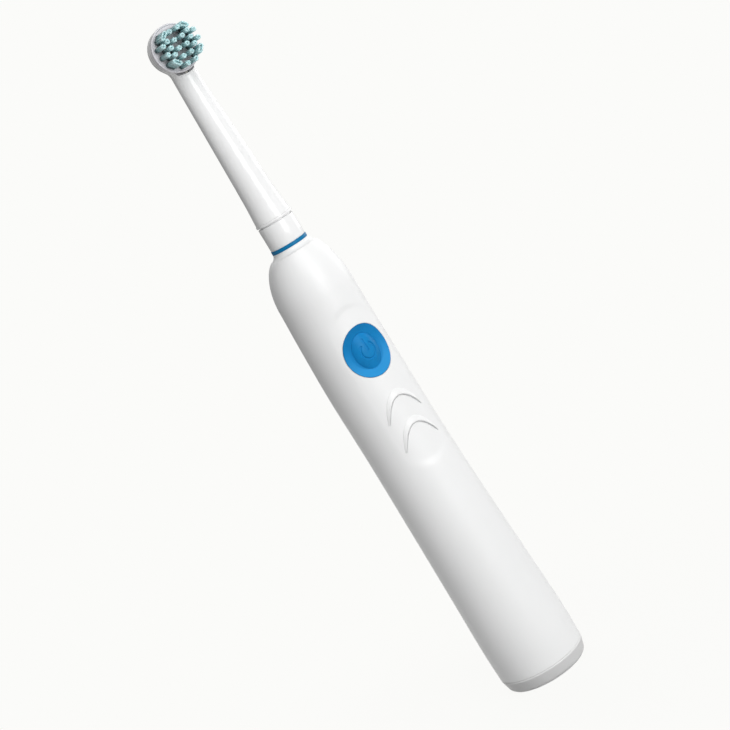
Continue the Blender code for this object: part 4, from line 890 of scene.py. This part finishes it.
def make_power_button():
    edge = -(RECESS_DEPTH + BEZEL_DEPTH)
    flange_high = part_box("power_button")[1]
    rings = []
    for share in np.concatenate((np.linspace(0.004, 0.92, 74), np.linspace(0.93, 1.0, 9))):
        across, along = oval(share * DOME_HALF_WIDTH, share * DOME_HALF_HEIGHT, 176)
        rise = edge + DOME_RISE * (1 - share ** 2.4)
        rings.append(skin_points(across, BUTTON_HEIGHT + along, rise - symbol_groove(across, along)))
    across, along = oval(DOME_HALF_WIDTH, DOME_HALF_HEIGHT, 176)
    stem = skin_points(across, BUTTON_HEIGHT + along, -BEZEL_BACK)
    rings.append(stem)
    flange_front = flange_high.y - 0.45 * MM
    rings.append(np.stack((stem[:, 0], np.full(len(stem), flange_front), stem[:, 2]), axis=1))
    flange_x, flange_z = oval(flange_high.x, flange_high.z - BUTTON_HEIGHT, 176)
    for y in (flange_front, flange_high.y):
        rings.append(np.stack((flange_x, np.full(176, y), BUTTON_HEIGHT + flange_z), axis=1))
    add_piece("button_dome", skinned("button_dome", rings), "button", "blue_rubber", ["power_button"])


# Brush head

def neck_form(z):
    """The neck's radius and set-back at each height."""
    shares = (z - NECK_FOOT) / NECK_LENGTH
    return smooth_values(NECK_OUTLINE, shares, 1) * MM, smooth_values(NECK_OUTLINE, shares, 2) * MM


def neck_distance(points):
    radius, set_back = neck_form(points[:, 2])
    around = np.hypot(points[:, 0], points[:, 1] - set_back) - radius
    return np.maximum(around, points[:, 2] - PIVOT_HEIGHT)


def cup_distance(points):
    """The head's cup round the pivot: straight at the front, rounded behind."""
    radial = np.hypot(points[:, 0], points[:, 2] - PIVOT_HEIGHT) / HEAD_RADIUS
    behind = np.maximum(points[:, 1] - (HEAD_BACK - HEAD_BACK_ROUND), 0) / HEAD_BACK_ROUND
    return ((radial ** 2.5 + behind ** 2) ** (1 / 2.25) - 1) * HEAD_RADIUS * 0.8


def shell_distance(points):
    """The neck and the cup, joined by a fillet."""
    neck = neck_distance(points)
    cup = cup_distance(points)
    overlap = np.maximum(NECK_FILLET - np.abs(neck - cup), 0)
    return np.minimum(neck, cup) - overlap ** 2 / (4 * NECK_FILLET)


def settle_on_shell(mesh):
    """Move a rough mesh's points onto the exact surface of the neck and cup."""
    points = np.zeros(len(mesh.vertices) * 3)
    mesh.vertices.foreach_get("co", points)
    points = points.reshape(-1, 3)
    step = 0.02 * MM
    for _ in range(6):
        value = shell_distance(points)
        slope = np.stack([shell_distance(points + step * axis) - shell_distance(points - step * axis)
                          for axis in np.eye(3)], axis=1) / (2 * step)
        move = value / np.maximum((slope ** 2).sum(axis=1), 0.05)
        points -= np.clip(move, -0.3 * MM, 0.3 * MM)[:, None] * slope
    mesh.vertices.foreach_set("co", points.ravel())
    mesh.update()


def cup_profile(radius, front, back, steps):
    """Straight from the front, then rounded to the back, as (radius, y)."""
    profile = [(0.0, front), (radius, front)]
    for depth in np.linspace(0, 1, steps):
        profile.append((radius * (1 - depth ** 2) ** 0.4, back - HEAD_BACK_ROUND * (1 - depth)))
    return profile


def make_head_shell():
    margin = 1.2 * MM
    heights = np.linspace(NECK_FOOT - margin, PIVOT_HEIGHT - 1.0 * MM, 60)
    neck = skinned("neck", [ring_at(radius, z, set_back, 64)
                            for z, radius, set_back in zip(heights, *neck_form(heights))])
    cup = turned_along_y("cup", cup_profile(HEAD_RADIUS, HEAD_FRONT - 2.6 * MM, HEAD_BACK, 12), 96)
    rough = new_object(carved(neck, cup, operation="UNION"))
    remesh = rough.modifiers.new("even_faces", "REMESH")
    remesh.mode = "VOXEL"
    remesh.voxel_size = 0.26 * MM
    shell = finished_mesh(rough, "head_and_neck")
    settle_on_shell(shell)

    disc_space = turned_along_y("disc_space", bar(DISC_SPACE_RADIUS, HEAD_FRONT - 6 * MM, HEAD_FRONT))
    hollow = cup_profile(HEAD_RADIUS - HEAD_WALL, HEAD_FRONT - 1 * MM, HEAD_BACK - HEAD_WALL, 10)
    foot = NECK_FOOT - SKIN_GAP + JOINT_LINE
    below_foot = turned("below_foot", bar(9 * MM, foot - 4 * MM, foot), 64)
    socket_radius = 4.9 * MM
    socket_top = SPIGOT_TOP + 0.3 * MM
    rod_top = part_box("head_crank_rod")[1].z
    bore = [
        (0.0, NECK_FOOT - 1 * MM), (socket_radius, NECK_FOOT - 1 * MM), (socket_radius, socket_top),
        (3.6 * MM, socket_top), (3.6 * MM, socket_top + 12 * MM), (0.0, socket_top + 12 * MM),
    ]
    channel = skinned("channel", [ring_at(2.6 * MM, z, 0.9 * MM, 48)
                                  for z in (socket_top + 11 * MM, rod_top - 1.3 * MM)])
    shell = carved(shell, disc_space, turned_along_y("hollow", hollow), below_foot,
                   turned("bore", bore, 64), channel)
    add_piece("head_and_neck", shell, "brush_head", "white_plastic", ["head_shell"], 40)


def make_brush_disc():
    face = DISC_FACE + 0.2 * MM
    back = DISC_BACK - 0.15 * MM
    rim = DISC_RADIUS - 0.45 * MM
    hub_radius = 2.4 * MM
    hub_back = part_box("brush_disc")[1].y
    bore = 0.9 * MM
    pin_front = HEAD_FRONT + 0.3 * MM
    front = rounded([(0.0, face), (rim - 0.1 * MM, face), (rim, DISC_FACE), (DISC_RADIUS, DISC_FACE),
                     (DISC_RADIUS, back), (hub_radius, back)], 0.24 * MM, 4)
    profile = front + [(hub_radius, hub_back), (bore, hub_back), (bore, pin_front), (0.0, pin_front)]
    disc = turned_along_y("brush_plate", profile)
    ball_radius = 0.65 * MM
    ball_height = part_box("head_crank_rod")[1].z - ball_radius
    slot_half_width = 1.05 * MM
    slot = box_mesh("fork_slot", (-slot_half_width, 1.35 * MM, ball_height - 2.2 * MM),
                    (slot_half_width, HEAD_BACK, ball_height + 1.05 * MM))
    fork = box_mesh("fork", (-1.8 * MM, 1.05 * MM, ball_height - 0.95 * MM),
                    (1.8 * MM, hub_back - 0.2 * MM, ball_height + 1.05 * MM))
    disc = carved(carved(disc, fork, operation="UNION"), slot)
    add_piece("brush_plate", disc, "brush", "white_plastic", ["brush_disc"])


def box_mesh(name, low, high):
    corners = np.array(((low[0], low[1]), (high[0], low[1]), (high[0], high[1]), (low[0], high[1])))
    return skinned(name, [np.column_stack((corners, np.full(4, z))) for z in (low[2], high[2])])


# Bristles

TUFT_RADIUS = 0.75 * MM
TUFT_ROWS = (                     # distance from the middle line, heights from the pivot
    (1.45 * MM, (4.75 * MM, 2.00 * MM, -0.65 * MM, -3.30 * MM, -5.70 * MM)),
    (3.65 * MM, (2.65 * MM, 0.50 * MM, -1.75 * MM)),
    (5.60 * MM, (1.90 * MM, -0.80 * MM)),
)
LONG_TUFT_RADIUS = 5.85 * MM
LONG_TUFT_ANGLES = (math.radians(50), math.radians(-42))
LONG_TUFT_HALF_LENGTH = 0.8 * MM
FILAMENT_RADIUS = 0.088 * MM
FILAMENT_SPACING = 0.178 * MM


def tuft_lines():
    """The two ends of each tuft's middle line, as (across, height) from the pivot."""
    lines = []
    for side in (-1, 1):
        for across, heights in TUFT_ROWS:
            for height in heights:
                spot = Vector((side * across, height))
                lines.append((spot, spot))
        for angle in LONG_TUFT_ANGLES:
            turn = angle if side > 0 else math.pi - angle
            middle = Vector((math.cos(turn), math.sin(turn))) * LONG_TUFT_RADIUS
            along = Vector((-math.sin(turn), math.cos(turn))) * LONG_TUFT_HALF_LENGTH
            lines.append((middle - along, middle + along))
    return lines


def filament_roots():
    """Where each filament stands, with its reach: the tufts are crowned, with a dimple in the middle."""
    row_height = FILAMENT_SPACING * math.sqrt(3) / 2
    rows = int(2 * TUFT_RADIUS / row_height) + 12
    roots, reaches = [], []
    full_reach = DISC_FACE - TUFT_TIP
    for start, end in tuft_lines():
        middle = (start + end) / 2
        axis = end - start
        for row in range(-rows, rows + 1):
            for column in range(-rows, rows + 1):
                point = middle + Vector((FILAMENT_SPACING * (column + row % 2 / 2), row_height * row))
                share = 0.0
                if axis.length > 0:
                    share = min(max((point - start).dot(axis) / axis.length_squared, 0.0), 1.0)
                away = (point - start - axis * share).length
                if away > TUFT_RADIUS - FILAMENT_RADIUS:
                    continue
                crown = 0.3 * MM * (away / TUFT_RADIUS) ** 4
                dimple = 3.0 * MM * max(0.0, 1 - (away / (0.42 * TUFT_RADIUS)) ** 2)
                roots.append((point.x, DISC_FACE + 0.3 * MM, PIVOT_HEIGHT + point.y))
                reaches.append(full_reach + 0.3 * MM - crown - dimple)
    return roots, reaches


def filament_tree():
    """Stand a round-tipped filament on every point, with its own reach and a slight lean."""
    tree = bpy.data.node_groups.new("filaments", "GeometryNodeTree")
    tree.interface.new_socket("Roots", in_out="INPUT", socket_type="NodeSocketGeometry")
    for label, kind, value in (("Filament Radius", "Float", FILAMENT_RADIUS), ("Lean", "Float", 0.02),
                               ("Sides", "Int", 6), ("Seed", "Int", 7)):
        socket = tree.interface.new_socket(label, in_out="INPUT", socket_type="NodeSocket" + kind)
        socket.default_value = value
    tree.interface.new_socket("Finish", in_out="INPUT", socket_type="NodeSocketMaterial")
    tree.interface.new_socket("Brush", in_out="OUTPUT", socket_type="NodeSocketGeometry")

    sheet = Sheet(tree)
    given = sheet.node("NodeGroupInput", output="Roots")
    radius = given.output("Filament Radius")
    stalk = sheet.node("GeometryNodeMeshCylinder", {"fill_type": "NGON"},
                       {"Vertices": given.output("Sides"), "Side Segments": 3, "Radius": 1.0, "Depth": 1.0})
    place = sheet.node("ShaderNodeSeparateXYZ", inputs={0: sheet.node("GeometryNodeInputPosition")})
    height = place.output("Z") + 0.5
    raised = 1.0 - (1.0 - height) ** 4.6
    width = radius * (1.0 - (height ** 18) * 0.55)
    shaped = sheet.node("ShaderNodeCombineXYZ", inputs={
        0: place * width, 1: place.output("Y") * width, 2: raised})
    stalk = sheet.node("GeometryNodeSetPosition", inputs={"Geometry": stalk, "Position": shaped})
    reach = sheet.node("GeometryNodeInputNamedAttribute", {"data_type": "FLOAT"}, {"Name": "reach"})
    lean = sheet.node("FunctionNodeRandomValue", {"data_type": "FLOAT_VECTOR"},
                      {"Min": (-1.0, 0.0, -1.0), "Max": (1.0, 0.0, 1.0), "Seed": given.output("Seed")})
    lean = sheet.node("ShaderNodeVectorMath", {"operation": "SCALE"},
                      {0: lean, "Scale": given.output("Lean")})
    upright = sheet.node("ShaderNodeVectorMath", {"operation": "ADD"}, {0: lean, 1: (0.0, -1.0, 0.0)})
    turn = sheet.node("FunctionNodeAlignRotationToVector", {"axis": "Z"}, {"Vector": upright})
    size = sheet.node("ShaderNodeCombineXYZ", inputs={0: 1.0, 1: 1.0, 2: reach})
    stood = sheet.node("GeometryNodeInstanceOnPoints", inputs={
        "Points": given, "Instance": stalk, "Rotation": turn, "Scale": size})
    solid = sheet.node("GeometryNodeRealizeInstances", inputs={0: stood})
    painted = sheet.node("GeometryNodeSetMaterial", inputs={
        "Geometry": solid, "Material": given.output("Finish")})
    result = tree.nodes.new("NodeGroupOutput")
    tree.links.new(painted.socket, result.inputs["Brush"])
    return tree


def make_bristles():
    roots, reaches = filament_roots()
    points = bpy.data.meshes.new("roots")
    points.from_pydata(roots, [], [])
    points.attributes.new("reach", "FLOAT", "POINT").data.foreach_set("value", reaches)
    worked = new_object(points)
    modifier = worked.modifiers.new("filaments", "NODES")
    modifier.node_group = filament_tree()
    for item in modifier.node_group.interface.items_tree:
        if item.name == "Finish":
            modifier[item.identifier] = FINISHES["aqua_bristle"]
    bristles = finished_mesh(worked, "bristles")
    add_piece("bristles", bristles, "brush", "aqua_bristle", ["bristle_tufts"], 60)


# Stage

def rectangle(name, width, height):
    """A flat mesh across X and Y."""
    x, y = width / 2, height / 2
    mesh = bpy.data.meshes.new(name)
    mesh.from_pydata([(-x, -y, 0), (x, -y, 0), (x, y, 0), (-x, y, 0)], [], [(0, 1, 2, 3)])
    return mesh


def make_floor():
    """A pale floor that still takes the handset's shadow, and meets the background without a line."""
    floor = new_object(rectangle("floor", 12.0, 12.0))
    sheet = FinishSheet("pale_floor", {"Base Color": (0.45, 0.45, 0.45, 1.0), "Roughness": 0.8})
    away = (sheet.x * sheet.x + sheet.y * sheet.y) ** 0.5
    near = 1.0 - sheet.fade(away, 20.0, 150.0)
    glow = sheet.node("ShaderNodeEmission", inputs={"Color": BACKGROUND, "Strength": near * 0.04 + 1.0})
    seen = backdrop_rays(sheet) * (1.0 - near * 0.08)
    mixed = sheet.node("ShaderNodeMixShader", inputs={
        0: seen, 1: Value(sheet, sheet.shader.outputs[0]), 2: glow})
    sheet.tree.links.new(mixed.socket, sheet.tree.nodes["Material Output"].inputs["Surface"])
    floor.data.materials.append(sheet.material)


def backdrop_rays(sheet):
    """1 for rays that should meet a white background, whether straight, mirrored or through glass."""
    path = sheet.node("ShaderNodeLightPath", output="Is Camera Ray")
    return path.most(path.output("Is Glossy Ray")).most(path.output("Is Transmission Ray"))


def make_world():
    world = bpy.data.worlds.new("studio")
    world.use_nodes = True
    bpy.context.scene.world = world
    sheet = Sheet(world.node_tree)
    background = world.node_tree.nodes["Background"]
    tone = sheet.blend(backdrop_rays(sheet), rgba((0.24, 0.24, 0.24)), BACKGROUND)
    world.node_tree.links.new(tone.socket, background.inputs["Color"])


def direction(azimuth, elevation):
    """Which way a thing stands from the handset, with 0 at its front and 90 at its right."""
    turn, rise = math.radians(azimuth), math.radians(elevation)
    return Vector((math.sin(turn) * math.cos(rise), -math.cos(turn) * math.cos(rise), math.sin(rise)))


def aim(made, azimuth, elevation, distance):
    """Set a lamp or a card some way from the handset's middle, facing it."""
    middle = (Vector(CAD_BOX[0]) + Vector(CAD_BOX[1])) / 2
    away = direction(azimuth, elevation)
    made.location = middle + away * distance
    made.rotation_mode = "QUATERNION"
    made.rotation_quaternion = (-away).to_track_quat("-Z", "Y")
    made.visible_camera = False


def add_lamp(name, power, size, azimuth, elevation):
    """A soft lamp, one metre from the handset."""
    lamp = bpy.data.lights.new(name, "AREA")
    lamp.shape = "RECTANGLE"
    lamp.size, lamp.size_y = size
    lamp.energy = power
    aim(new_object(lamp), azimuth, elevation, 1.0)


def add_card(name, shade, size, azimuth, elevation, distance):
    """An upright card that only shows in reflections."""
    card = new_object(rectangle(name, *size))
    aim(card, azimuth, elevation, distance)
    sheet = FinishSheet(name, {
        "Base Color": rgba((0.0, 0.0, 0.0)), "Emission Color": rgba((shade, shade, shade)),
        "Emission Strength": 1.0, "Specular IOR Level": 0.0})
    card.data.materials.append(sheet.material)
    card.visible_diffuse = False
    card.visible_transmission = False
    card.visible_shadow = False


def make_lamps():
    add_lamp("front", 6.0, (0.9, 0.9), -4, 40)
    add_lamp("right_rim", 1.8, (0.4, 0.9), 92, 10)
    add_lamp("low_front_strip", 3.3, (0.55, 0.38), 8, 7)
    add_lamp("low_right_strip", 0.6, (0.4, 0.38), 112, 7)
    add_lamp("back_fill", 5.0, (0.9, 0.9), 158, 25)
    add_card("grey_card", 0.30, (1.1, 1.2), 190, 0, 0.6)


def make_camera():
    """Low on the handset's left front, rolled so that the handset leans across the frame."""
    azimuth, elevation = -25, 9.35
    roll = math.radians(31.34)
    distance = 0.6338
    middle = Vector((0.00049, -0.00023, 0.1113))
    back = direction(azimuth, elevation)
    level = Vector((math.cos(math.radians(azimuth)), math.sin(math.radians(azimuth)), 0.0))
    upward = back.cross(level)
    right = level * math.cos(roll) - upward * math.sin(roll)
    top = level * math.sin(roll) + upward * math.cos(roll)
    data = bpy.data.cameras.new("view")
    data.sensor_width = 36.0
    data.lens = 103.56
    data.clip_start = 0.01
    camera = new_object(data)
    turn = Matrix((right, top, back)).transposed().to_4x4()
    camera.matrix_world = Matrix.Translation(middle + back * distance) @ turn
    bpy.context.scene.camera = camera


def finish_solids():
    """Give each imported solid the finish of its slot."""
    for entry in frame["record"]["subparts"]:
        mesh = frame["nodes"][entry["node"]].data
        mesh.materials.clear()
        mesh.materials.append(FINISHES[entry["material_slot"]])


finish_solids()
make_handle()
make_crescents()
make_end_cap()
make_collars()
make_button_dish()
make_power_button()
make_head_shell()
make_brush_disc()
make_bristles()
make_floor()
make_world()
make_lamps()
make_camera()
bpy.context.scene.view_settings.view_transform = "Standard"
